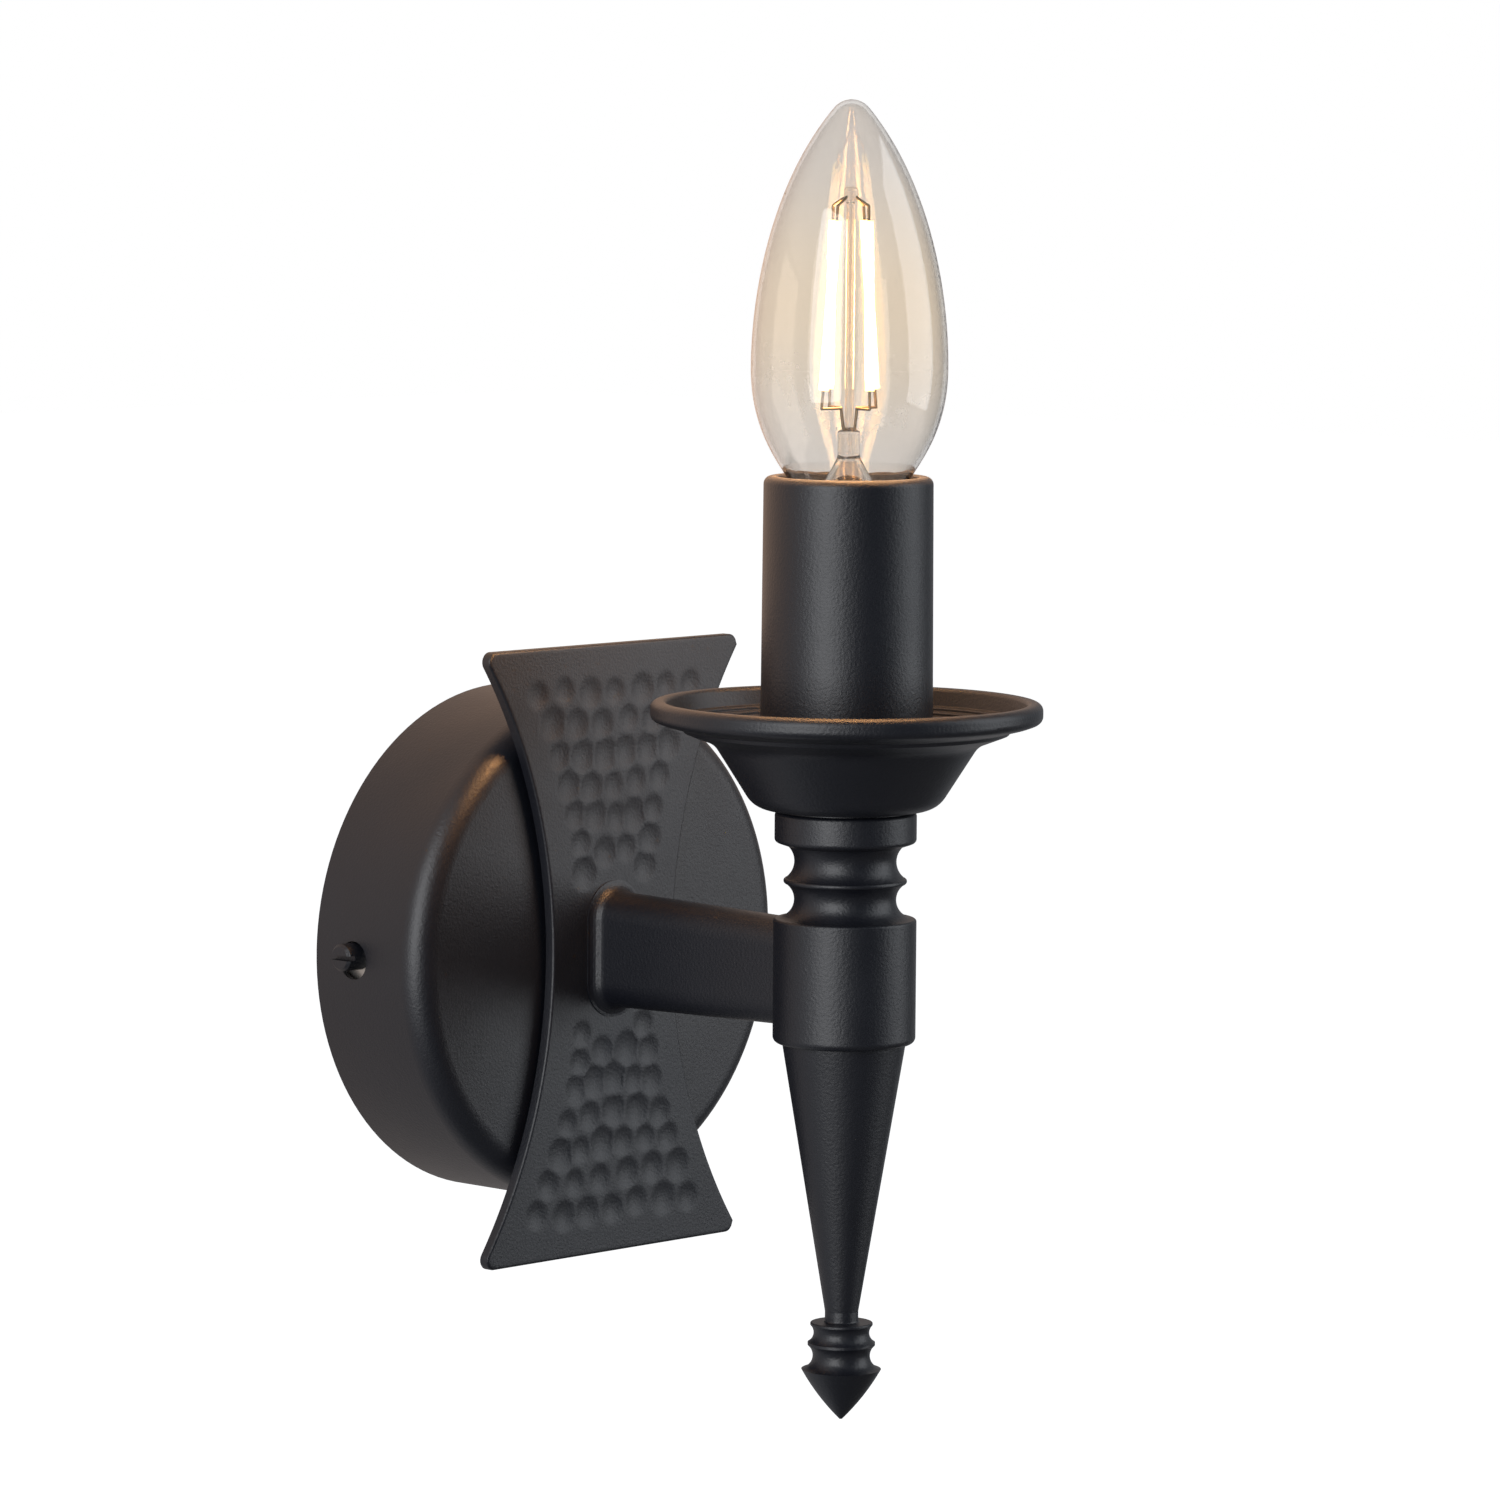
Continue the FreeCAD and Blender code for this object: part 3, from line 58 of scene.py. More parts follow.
# ---- places taken from the frame ----
TORCH_Y = (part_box("candle_sleeve")[0][1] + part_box("candle_sleeve")[1][1]) / 2
TORCH = Vector((0, TORCH_Y, 0))
STRAP_LOW, STRAP_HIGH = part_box("hammered_strap")
BULB_MIDDLE = (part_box("bulb_filaments")[0][2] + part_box("bulb_filaments")[1][2]) / 2
FILAMENT_HALF = (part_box("bulb_filaments")[1][2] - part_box("bulb_filaments")[0][2]) / 2
CAP_LOW, CAP_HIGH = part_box("bulb_cap")
SHELL_LOW, SHELL_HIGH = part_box("holder_shell")
ROD_LOW, ROD_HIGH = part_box("threaded_rod")
BULB_GLASS_NODES = ("bulb_glass", "bulb_stem")

# ---- meshes ----
SMOOTH_ANGLE = math.radians(35)
MERGE_DISTANCE = 1e-7

# ---- hammered strap: its outline, then the pattern of its marks ----
STRAP_HALF_HEIGHT = STRAP_HIGH[2]
STRAP_WAIST_HALF = 15.65 * MM
STRAP_END_HALF = 33.85 * MM
STRAP_CORNER = 1.8 * MM
STRAP_EDGE_ROUND = 0.5 * MM
STRAP_COLUMNS = 104
STRAP_ROW = 0.5 * MM
EDGE_STEPS = 6
SIDE_MARGIN = 8.7 * MM
ROW_FIRST = 18.1 * MM
ROW_PITCH = 5.95 * MM
ROW_BOW = 1.9 * MM
ROWS = 6
PAIR_HALF = 7.8 * MM
PAIR_HEIGHT = 14.9 * MM
MARK_PITCH = 5.4 * MM
PITCH_GROWTH = 0.25 * MM
MARK_RADIUS = 3.15 * MM
MARK_DEPTH = 0.38 * MM
MARK_FALLOFF = 1.25
MARK_JITTER = 0.5 * MM
MARK_HEFT = (0.82, 1.12)
MARK_SEED = 7
FACE_TOLERANCE = 0.05 * MM

# ---- screw threads, right-handed; the cap and the shell that it turns in share one helix ----
CAP_PITCH = 2.82 * MM
CAP_THREAD_DEPTH = 0.75 * MM
CAP_SHEET = 0.35 * MM
CAP_BOTTOM_RADIUS = 5.2 * MM
CAP_RADIUS = 6.95 * MM
CAP_BOTTOM_ROUND = 1.0 * MM
CAP_ROUND_MIDDLE = 0.7
CAP_RIM = 2.7 * MM
CAP_FLARE = 2.5 * MM
CAP_RIM_BOTTOM = CAP_HIGH[2] - CAP_RIM
CAP_THREAD_TOP = CAP_RIM_BOTTOM - CAP_FLARE
CAP_FLOOR_RADIUS = 5.75 * MM
CAP_SIDES = 96
CAP_CUTS = 14
SHELL_SHEET = 0.6 * MM
ROD_PITCH = 1.0 * MM
ROD_THREAD_DEPTH = 0.5 * MM
ROD_BORE = 3.8 * MM
ROD_SIDES = 48
ROD_CUTS = 8
THREAD_FADE = 1.4 * MM

# ---- finishes ----
GRAIN_SIZE = 0.5 * MM
GRAIN_WAVINESS = 0.3
WAVE_SHARE = 0.13
CLOUD_SCALE = 60.0
METAL_GRAIN = 0.4 * MM
METAL_RELIEF = 0.004 * MM
PAINT_SPECULAR = 0.75

# ---- glass ----
GLASS_IOR = 1.5
GLASS_COOL = (0.79, 0.755, 0.72)
# the warm tone is painted glow: the filaments' light painted into the glass's colour round them
GLASS_PAINTED_GLOW = (0.86, 0.785, 0.69)
# the dark rim tone is painted shade: the dark room that the glass shows edge-on, painted into its colour
GLASS_PAINTED_RIM_SHADE = (0.03, 0.028, 0.026)
GLASS_RIM_SHADE_SHARPNESS = 3.2
GLASS_PAINTED_GLOW_REACH = 2 * FILAMENT_HALF
GLASS_RIPPLE = 0.3
GLASS_RIPPLE_SCALE = 45.0

# ---- lit filaments ----
PHOSPHOR_SKIN = ((0.95, 0.66, 0.2), (1.0, 0.78, 0.35))
PHOSPHOR_GRAIN_SCALE = 1500.0
PHOSPHOR_MIDDLE_GLOW = (1.0, 0.9, 0.66)
PHOSPHOR_END_GLOW = (1.0, 0.7, 0.24)
PHOSPHOR_GLOW_STRENGTH = 4.0
PHOSPHOR_END_START = 0.8 * FILAMENT_HALF

# ---- studio ----
FLOOR_HEIGHT = -0.32
FLOOR_REACH = 6.0
FLOOR_TONE = 0.22
FLOOR_SEEN_TONE = 0.9
FLOOR_WHITE = 0.97
WALL_REACH = 1.2
WALL_GAP = 0.001
WALL_COLOUR = (0.9, 0.94, 1.0)
WALL_TONE = 0.36
WALL_GLOW = 0.8
ROOM_COLOUR = (0.74, 0.86, 1.0)
ROOM_TONE = 0.08
STUDIO_DISTANCE = 1.1
GLOW_COLOUR = (1.0, 0.5, 0.2)
GLOW_POWER = 1.1
GLOW_SIZE = 0.016
GLOW_REACH = 0.13


# ---------------------------------------------------------------- node helpers

# the Mix node's colour sockets: two inputs and the result
MIX_FIRST, MIX_SECOND, MIX_RESULT = 6, 7, 2


def add(tree, kind, inputs=None, **settings):
    """A node with its settings, and its inputs set to values or linked from other sockets."""
    made = tree.nodes.new(kind)
    for name, value in settings.items():
        setattr(made, name, value)
    for key, value in (inputs or {}).items():
        if isinstance(value, bpy.types.NodeSocket):
            tree.links.new(value, made.inputs[key])
        else:
            made.inputs[key].default_value = value
    return made


def calc(tree, operation, *values, clamp=False):
    """One math step on numbers or sockets."""
    made = add(tree, "ShaderNodeMath", dict(enumerate(values)), operation=operation, use_clamp=clamp)
    return made.outputs[0]


def sockets(tree, inputs, outputs):
    """Named sockets of a node group: (name, type, default) in, (name, type) out."""
    for name, kind, value in inputs:
        made = tree.interface.new_socket(name, in_out="INPUT", socket_type="NodeSocket" + kind)
        if value is not None:
            made.default_value = value
    for name, kind in outputs:
        tree.interface.new_socket(name, in_out="OUTPUT", socket_type="NodeSocket" + kind)
    return tree.nodes.new("NodeGroupInput"), tree.nodes.new("NodeGroupOutput")


# ---------------------------------------------------------------- camera and studio

def make_camera():
    """The camera at its place, turned, dipped and rolled."""
    forward = Vector((math.sin(CAMERA_TURN) * math.cos(CAMERA_DIP),
                      math.cos(CAMERA_TURN) * math.cos(CAMERA_DIP), -math.sin(CAMERA_DIP)))
    level = Vector((math.cos(CAMERA_TURN), -math.sin(CAMERA_TURN), 0))
    upright = level.cross(forward)
    right = math.cos(CAMERA_ROLL) * level + math.sin(CAMERA_ROLL) * upright
    up = math.cos(CAMERA_ROLL) * upright - math.sin(CAMERA_ROLL) * level
    data = bpy.data.cameras.new("camera")
    data.lens = CAMERA_LENS
    data.sensor_width = CAMERA_SENSOR
    camera = bpy.data.objects.new("camera", data)
    bpy.context.scene.collection.objects.link(camera)
    turn = Matrix((right, up, -forward)).transposed().to_4x4()
    camera.matrix_world = Matrix.Translation(CAMERA_PLACE) @ turn
    bpy.context.scene.camera = camera


def panel(name, corners):
    """A flat stage piece with an empty material, and that material's tree."""
    mesh = bpy.data.meshes.new(name)
    mesh.from_pydata(corners, [], [(0, 1, 2, 3)])
    piece = bpy.data.objects.new(name, mesh)
    bpy.context.scene.collection.objects.link(piece)
    material = bpy.data.materials.new(name)
    material.use_nodes = True
    material.node_tree.nodes.clear()
    mesh.materials.append(material)
    return piece, material.node_tree


def seen_directly(tree):
    """1 for what the camera sees, straight or through glass."""
    path = tree.nodes.new("ShaderNodeLightPath")
    return calc(tree, "MAXIMUM", path.outputs["Is Camera Ray"], path.outputs["Is Transmission Ray"])


def make_floor():
    """A pale floor that shows white to the camera and still takes the lamp's shadow."""
    reach = FLOOR_REACH
    _, tree = panel("floor", [(-reach, -reach, FLOOR_HEIGHT), (reach, -reach, FLOOR_HEIGHT),
                              (reach, reach, FLOOR_HEIGHT), (-reach, reach, FLOOR_HEIGHT)])
    matt = add(tree, "ShaderNodeBsdfDiffuse", {"Color": (FLOOR_TONE, FLOOR_TONE, FLOOR_TONE, 1)})
    seen = (FLOOR_SEEN_TONE, FLOOR_SEEN_TONE, FLOOR_SEEN_TONE, 1)
    pale = add(tree, "ShaderNodeBsdfDiffuse", {"Color": seen})
    white = add(tree, "ShaderNodeEmission", {"Color": (1, 1, 1, 1), "Strength": FLOOR_WHITE})
    lit = add(tree, "ShaderNodeAddShader", {0: pale.outputs[0], 1: white.outputs[0]})
    mix = add(tree, "ShaderNodeMixShader", {0: seen_directly(tree), 1: matt.outputs[0],
                                            2: lit.outputs[0]})
    add(tree, "ShaderNodeOutputMaterial", {"Surface": mix.outputs[0]})


def make_wall():
    """The white wall that the paint mirrors: pale all over and warm where the bulb lights it."""
    reach = WALL_REACH
    wall, tree = panel("wall", [(-reach, WALL_GAP, FLOOR_HEIGHT), (reach, WALL_GAP, FLOOR_HEIGHT),
                                (reach, WALL_GAP, reach), (-reach, WALL_GAP, reach)])
    place = tree.nodes.new("ShaderNodeTexCoord").outputs["Object"]
    away = add(tree, "ShaderNodeVectorMath", {0: place, 1: (0, WALL_GAP, BULB_MIDDLE)},
               operation="DISTANCE")
    ratio = calc(tree, "DIVIDE", away.outputs["Value"], GLOW_REACH)
    spread_out = calc(tree, "POWER", calc(tree, "MULTIPLY_ADD", ratio, ratio, 1.0), 2.0)
    fade = calc(tree, "DIVIDE", 1.0, spread_out)
    pale = add(tree, "ShaderNodeEmission", {"Color": (*WALL_COLOUR, 1), "Strength": WALL_TONE})
    warm = add(tree, "ShaderNodeEmission", {"Color": (*GLOW_COLOUR, 1),
                                            "Strength": calc(tree, "MULTIPLY", fade, WALL_GLOW)})
    lit = add(tree, "ShaderNodeAddShader", {0: pale.outputs[0], 1: warm.outputs[0]})
    behind = tree.nodes.new("ShaderNodeNewGeometry").outputs["Backfacing"]
    clear = tree.nodes.new("ShaderNodeBsdfTransparent")
    mix = add(tree, "ShaderNodeMixShader", {0: behind, 1: lit.outputs[0], 2: clear.outputs[0]})
    add(tree, "ShaderNodeOutputMaterial", {"Surface": mix.outputs[0]})
    wall.visible_camera = False
    wall.visible_diffuse = False
    wall.visible_shadow = False
    wall.visible_transmission = False


def make_world():
    """A dim blue room for the lamp, and plain white behind it for the camera."""
    world = bpy.data.worlds.new("studio")
    bpy.context.scene.world = world
    world.use_nodes = True
    tree = world.node_tree
    tree.nodes.clear()
    room = add(tree, "ShaderNodeBackground", {"Color": (*ROOM_COLOUR, 1), "Strength": ROOM_TONE})
    white = add(tree, "ShaderNodeBackground", {"Color": (1, 1, 1, 1), "Strength": 1.0})
    mix = add(tree, "ShaderNodeMixShader", {0: seen_directly(tree), 1: room.outputs[0],
                                            2: white.outputs[0]})
    add(tree, "ShaderNodeOutputWorld", {"Surface": mix.outputs[0]})


def softbox(name, angle, height, width, tall, radiance, colour):
    """A soft light that faces the torch, degrees round it to the right of the camera."""
    turn = math.radians(angle) - CAMERA_TURN
    outward = Vector((math.sin(turn), -math.cos(turn), 0))
    place = TORCH + outward * STUDIO_DISTANCE + Vector((0, 0, height))
    data = bpy.data.lights.new(name, "AREA")
    data.shape = "RECTANGLE"
    data.size = width
    data.size_y = tall
    data.energy = radiance * math.pi * width * tall
    data.color = colour
    light = bpy.data.objects.new(name, data)
    bpy.context.scene.collection.objects.link(light)
    aim = (TORCH - place).to_track_quat("-Z", "Y")
    light.matrix_world = Matrix.Translation(place) @ aim.to_matrix().to_4x4()


def bulb_glow():
    """The light that the lit bulb throws on the lamp below it, but not on its own glass."""
    data = bpy.data.lights.new("bulb_glow", "POINT")
    data.energy = GLOW_POWER
    data.color = GLOW_COLOUR
    data.shadow_soft_size = GLOW_SIZE
    light = bpy.data.objects.new("bulb_glow", data)
    light.location = TORCH + Vector((0, 0, BULB_MIDDLE))
    light.visible_camera = False
    light.visible_transmission = False
    bpy.context.scene.collection.objects.link(light)
    unlit = bpy.data.collections.new("glass_of_the_bulb")
    for name in BULB_GLASS_NODES:
        unlit.objects.link(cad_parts[name])
    for item in unlit.collection_objects:
        item.light_linking.link_state = "EXCLUDE"
    light.light_linking.receiver_collection = unlit


def light_studio():
    """Two tall softboxes and the bulb itself."""
    softbox("left_softbox", angle=-31, height=0.12, width=0.85, tall=1.5, radiance=3.3,
            colour=(0.97, 0.98, 1.0))
    softbox("right_softbox", angle=93, height=0.31, width=0.85, tall=1.25, radiance=1.8,
            colour=(0.93, 0.96, 1.0))
    bulb_glow()


# ---------------------------------------------------------------- finishes

def grain_group():
    """Fine pimples of a sprayed coat over a slower unevenness."""
    tree = bpy.data.node_groups.new("grain", "ShaderNodeTree")
    entry, leave = sockets(tree, [("Vector", "Vector", None), ("Size", "Float", GRAIN_SIZE),
                                  ("Waviness", "Float", GRAIN_WAVINESS)],
                           [("Height", "Float"), ("Mottle", "Float")])
    scale = calc(tree, "DIVIDE", 1.0, entry.outputs["Size"])
    fine = add(tree, "ShaderNodeTexNoise", {"Vector": entry.outputs["Vector"], "Scale": scale,
                                            "Detail": 3.0, "Roughness": 0.55})
    wide = add(tree, "ShaderNodeTexNoise", {"Vector": entry.outputs["Vector"],
                                            "Scale": calc(tree, "MULTIPLY", scale, WAVE_SHARE),
                                            "Detail": 2.0})
    wave = calc(tree, "MULTIPLY", wide.outputs["Fac"], entry.outputs["Waviness"])
    tree.links.new(calc(tree, "ADD", fine.outputs["Fac"], wave), leave.inputs["Height"])
    cloud = add(tree, "ShaderNodeTexNoise", {"Vector": entry.outputs["Vector"], "Scale": CLOUD_SCALE,
                                             "Detail": 4.0, "Roughness": 0.6})
    tree.links.new(cloud.outputs["Fac"], leave.inputs["Mottle"])
    return tree


def new_material(name):
    """A material, its tree, its Principled node and the object coordinates it reads."""
    material = bpy.data.materials.new(name)
    material.use_nodes = True
    tree = material.node_tree
    tree.nodes.clear()
    shader = tree.nodes.new("ShaderNodeBsdfPrincipled")
    add(tree, "ShaderNodeOutputMaterial", {"Surface": shader.outputs[0]})
    place = tree.nodes.new("ShaderNodeTexCoord").outputs["Object"]
    return material, tree, shader, place


def between(tree, share, low, high):
    """A number that runs from low to high with a mask."""
    return add(tree, "ShaderNodeMapRange", {"Value": share, "To Min": low, "To Max": high}).outputs[0]


def two_tone(tree, share, first, second):
    """A colour that runs from one tone to another with a mask."""
    mix = add(tree, "ShaderNodeMix", {"Factor": share}, data_type="RGBA")
    mix.inputs[MIX_FIRST].default_value = (*first, 1)
    mix.inputs[MIX_SECOND].default_value = (*second, 1)
    return mix.outputs[MIX_RESULT]


def coated(name, grain, first, second, rough, size, relief):
    """A finish with a fine grain: two tones, a range of roughness, the grain's size and its relief."""
    material, tree, shader, place = new_material(name)
    made = add(tree, "ShaderNodeGroup", {}, node_tree=grain)
    made.inputs["Size"].default_value = size
    made.inputs["Waviness"].default_value = GRAIN_WAVINESS
    tree.links.new(place, made.inputs["Vector"])
    tree.links.new(two_tone(tree, made.outputs["Mottle"], first, second), shader.inputs["Base Color"])
    tree.links.new(between(tree, made.outputs["Mottle"], *rough), shader.inputs["Roughness"])
    bump = add(tree, "ShaderNodeBump", {"Height": made.outputs["Height"], "Strength": 1.0,
                                        "Distance": relief})
    tree.links.new(bump.outputs[0], shader.inputs["Normal"])
    return material, shader


def metal(name, grain, first, second, rough, size=METAL_GRAIN, relief=METAL_RELIEF):
    """A bare or plated metal with a faint grain."""
    material, shader = coated(name, grain, first, second, rough, size, relief)
    shader.inputs["Metallic"].default_value = 1.0
    return material


def clear_glass():
    """Clear glass with a warm painted glow in its colour round the filaments, standing in for their light,
    and painted shade that darkens it where it is seen edge-on.
    """
    material, tree, shader, place = new_material("clear_glass")
    shader.inputs["Transmission Weight"].default_value = 1.0
    shader.inputs["IOR"].default_value = GLASS_IOR
    shader.inputs["Roughness"].default_value = 0.0
    # painted glow: warm near the filaments' height, fading to the cool tone away from them, broken by a
    # faint ripple
    height = add(tree, "ShaderNodeSeparateXYZ", {0: place}).outputs["Z"]
    off = calc(tree, "ABSOLUTE", calc(tree, "SUBTRACT", height, BULB_MIDDLE))
    ends = add(tree, "ShaderNodeMapRange", {"Value": off, "From Min": 0.0, "From Max": GLASS_PAINTED_GLOW_REACH},
               interpolation_type="SMOOTHSTEP").outputs[0]
    ripple = add(tree, "ShaderNodeTexNoise", {"Vector": place, "Scale": GLASS_RIPPLE_SCALE, "Detail": 1.0})
    uneven = calc(tree, "SUBTRACT", ripple.outputs["Fac"], 0.5)
    share = calc(tree, "MULTIPLY_ADD", uneven, GLASS_RIPPLE, ends, clamp=True)
    body = two_tone(tree, share, GLASS_PAINTED_GLOW, GLASS_COOL)
    # painted shade: the colour darkens where the glass is seen edge-on, standing in for the dark
    # surroundings seen through it
    rim = add(tree, "ShaderNodeLayerWeight", {"Blend": 0.5}).outputs["Facing"]
    rim = calc(tree, "POWER", rim, GLASS_RIM_SHADE_SHARPNESS)
    mix = add(tree, "ShaderNodeMix", {"Factor": rim}, data_type="RGBA")
    tree.links.new(body, mix.inputs[MIX_FIRST])
    mix.inputs[MIX_SECOND].default_value = (*GLASS_PAINTED_RIM_SHADE, 1)
    tree.links.new(mix.outputs[MIX_RESULT], shader.inputs["Base Color"])
    return material


def lit_phosphor():
    """Glowing phosphor: white along the middle of each stick and yellow towards its ends."""
    material, tree, shader, place = new_material("lit_phosphor")
    height = add(tree, "ShaderNodeSeparateXYZ", {0: place}).outputs["Z"]
    off = calc(tree, "ABSOLUTE", calc(tree, "SUBTRACT", height, BULB_MIDDLE))
    ends = add(tree, "ShaderNodeMapRange", {"Value": off, "From Min": PHOSPHOR_END_START,
                                            "From Max": FILAMENT_HALF}).outputs[0]
    fine = add(tree, "ShaderNodeTexNoise", {"Vector": place, "Scale": PHOSPHOR_GRAIN_SCALE}).outputs["Fac"]
    tree.links.new(two_tone(tree, fine, *PHOSPHOR_SKIN), shader.inputs["Base Color"])
    glow = two_tone(tree, ends, PHOSPHOR_MIDDLE_GLOW, PHOSPHOR_END_GLOW)
    tree.links.new(glow, shader.inputs["Emission Color"])
    shader.inputs["Emission Strength"].default_value = PHOSPHOR_GLOW_STRENGTH
    shader.inputs["Roughness"].default_value = 0.5
    return material


def black_paint(grain):
    """Sprayed satin black with a blue cast and a pimpled skin."""
    material, shader = coated("black_paint", grain, (0.0028, 0.0036, 0.0075), (0.0054, 0.0067, 0.0125),
                              rough=(0.38, 0.5), size=0.55 * MM, relief=0.07 * MM)
    shader.inputs["Specular IOR Level"].default_value = PAINT_SPECULAR
    return material


def white_plastic(grain):
    """The mains block's smooth moulding."""
    material, _ = coated("white_plastic", grain, (0.78, 0.78, 0.74), (0.84, 0.84, 0.8),
                         rough=(0.3, 0.38), size=0.8 * MM, relief=0.006 * MM)
    return material


def black_plastic(grain):
    """The lampholder's dull moulded resin."""
    material, _ = coated("black_plastic", grain, (0.02, 0.019, 0.018), (0.035, 0.033, 0.03),
                         rough=(0.42, 0.55), size=0.6 * MM, relief=0.012 * MM)
    return material


def dark_glass(grain):
    """The shiny bead round the cap's centre contact."""
    material, _ = coated("dark_glass", grain, (0.012, 0.012, 0.02), (0.02, 0.02, 0.03),
                         rough=(0.08, 0.16), size=1.0 * MM, relief=0.004 * MM)
    return material


def make_finishes():
    """Every finish under the name of the slot that wears it."""
    grain = grain_group()
    return {
        "black_paint": black_paint(grain),
        "white_plastic": white_plastic(grain),
        "black_plastic": black_plastic(grain),
        "dark_glass": dark_glass(grain),
        "zinc_plate": metal("zinc_plate", grain, (0.6, 0.61, 0.6), (0.7, 0.7, 0.66), rough=(0.28, 0.42)),
        "brass": metal("brass", grain, (0.7, 0.5, 0.22), (0.8, 0.6, 0.3), rough=(0.2, 0.34)),
        "nickel": metal("nickel", grain, (0.68, 0.66, 0.6), (0.76, 0.74, 0.69), rough=(0.14, 0.26)),
        "solder": metal("solder", grain, (0.5, 0.5, 0.5), (0.66, 0.66, 0.66), rough=(0.3, 0.5),
                        size=0.8 * MM, relief=0.03 * MM),
        "lead_wire": metal("lead_wire", grain, (0.1, 0.08, 0.05), (0.17, 0.14, 0.1), rough=(0.35, 0.5)),
        "clear_glass": clear_glass(),
        "filament_phosphor": lit_phosphor()}


def wear_finishes(finishes):
    """Each slot of the frame's nodes takes the finish of its name; the glass casts no shadow."""
    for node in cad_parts.values():
        for slot in node.material_slots:
            slot.material = finishes[slot.material.name.split(".")[0]]
    for name in BULB_GLASS_NODES:
        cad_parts[name].visible_shadow = False


# ---------------------------------------------------------------- meshes

def mesh_object(name, verts, faces):
    """A mesh with merged points, outward faces and soft shading up to an angle."""
    mesh = bpy.data.meshes.new(name)
    mesh.from_pydata([tuple(v) for v in verts], [], faces)
    work = bmesh.new()
    work.from_mesh(mesh)
    bmesh.ops.remove_doubles(work, verts=work.verts, dist=MERGE_DISTANCE)
    bmesh.ops.recalc_face_normals(work, faces=work.faces)
    work.to_mesh(mesh)
    work.free()
    mesh.shade_smooth()
    mesh.set_sharp_from_angle(angle=SMOOTH_ANGLE)
    piece = bpy.data.objects.new(name, mesh)
    bpy.context.scene.collection.objects.link(piece)
    return piece


def grow(piece, tree, values):
    """Run a geometry tree on a piece with its named inputs and keep the result as a plain mesh."""
    modifier = piece.modifiers.new(tree.name, "NODES")
    modifier.node_group = tree
    for item in tree.interface.items_tree:
        if item.in_out == "INPUT" and item.name in values:
            modifier[item.identifier] = values[item.name]
    bpy.context.view_layer.update()
    evaluated = piece.evaluated_get(bpy.context.evaluated_depsgraph_get())
    result = bpy.data.meshes.new_from_object(evaluated)
    result.name = piece.name
    piece.modifiers.remove(modifier)
    piece.data = result
    return piece


# ---------------------------------------------------------------- hammered strap

# the hollow side is one arc from end to end, and a corner's arc runs into it
SIDE_RADIUS = ((STRAP_HALF_HEIGHT ** 2 + (STRAP_END_HALF - STRAP_WAIST_HALF) ** 2)
               / (2 * (STRAP_END_HALF - STRAP_WAIST_HALF)))
SIDE_CENTRE = STRAP_WAIST_HALF + SIDE_RADIUS
CORNER_Z = STRAP_HALF_HEIGHT - STRAP_CORNER
CORNER_X = SIDE_CENTRE - math.sqrt((SIDE_RADIUS + STRAP_CORNER) ** 2 - CORNER_Z ** 2)
CORNER_START = CORNER_Z * SIDE_RADIUS / (SIDE_RADIUS + STRAP_CORNER)


def half_width(z):
    """Half the strap's width: its hollow side, then the rounded corner."""
    z = abs(z)
    if z <= CORNER_START:
        return SIDE_CENTRE - math.sqrt(SIDE_RADIUS ** 2 - z * z)
    return CORNER_X + math.sqrt(max(STRAP_CORNER ** 2 - (z - CORNER_Z) ** 2, 0))


def from_edge(x, z):
    """How far inside its outline a point of the strap lies."""
    x, z = abs(x), abs(z)
    if x > CORNER_X and z > CORNER_Z:
        return STRAP_CORNER - math.hypot(x - CORNER_X, z - CORNER_Z)
    side = math.hypot(x - SIDE_CENTRE, z) - SIDE_RADIUS
    return min(side, STRAP_HALF_HEIGHT - z)


def edge_drop(distance):
    """How far the rounded edge falls away from the face."""
    short = max(STRAP_EDGE_ROUND - distance, 0)
    return STRAP_EDGE_ROUND - math.sqrt(max(STRAP_EDGE_ROUND ** 2 - short ** 2, 0))


def edge_offsets():
    """Distances from the edge at which the rounding is cut, closer towards the edge."""
    turns = [math.pi / 2 * i / EDGE_STEPS for i in range(EDGE_STEPS + 1)]
    return [STRAP_EDGE_ROUND * (1 - math.cos(turn)) for turn in turns]


def strap_blank():
    """The flat strap with its rounded front edge, ready for the hammer marks."""
    offsets = edge_offsets()
    top = STRAP_HALF_HEIGHT
    count = round((top - STRAP_EDGE_ROUND) / STRAP_ROW)
    heights = [top - o for o in offsets]
    heights += [(top - STRAP_EDGE_ROUND) * i / count for i in range(count - 1, -1, -1)]
    heights += [-z for z in heights[-2::-1]]
    front = STRAP_LOW[1]
    back = STRAP_HIGH[1]
    verts = []
    for z in heights:
        edge = half_width(z)
        inner = edge - STRAP_EDGE_ROUND
        xs = [-edge + o for o in offsets]
        xs += [-inner + 2 * inner * i / STRAP_COLUMNS for i in range(1, STRAP_COLUMNS)]
        xs += [edge - o for o in reversed(offsets)]
        verts += [(x, front + edge_drop(max(from_edge(x, z), 0)), z) for x in xs]
    wide = len(xs)
    tall = len(heights)
    faces = [(r * wide + c, r * wide + c + 1, (r + 1) * wide + c + 1, (r + 1) * wide + c)
             for r in range(tall - 1) for c in range(wide - 1)]
    ring = list(range(wide)) + [r * wide + wide - 1 for r in range(1, tall)]
    ring += [(tall - 1) * wide + c for c in range(wide - 2, -1, -1)]
    ring += [r * wide for r in range(tall - 2, 0, -1)]
    base = len(verts)
    verts += [(verts[i][0], back, verts[i][2]) for i in ring]
    for i, corner in enumerate(ring):
        after = (i + 1) % len(ring)
        faces.append((corner, base + i, base + after, ring[after]))
    faces.append(tuple(base + i for i in range(len(ring))))
    return mesh_object("hammered_strap_face", verts, faces)


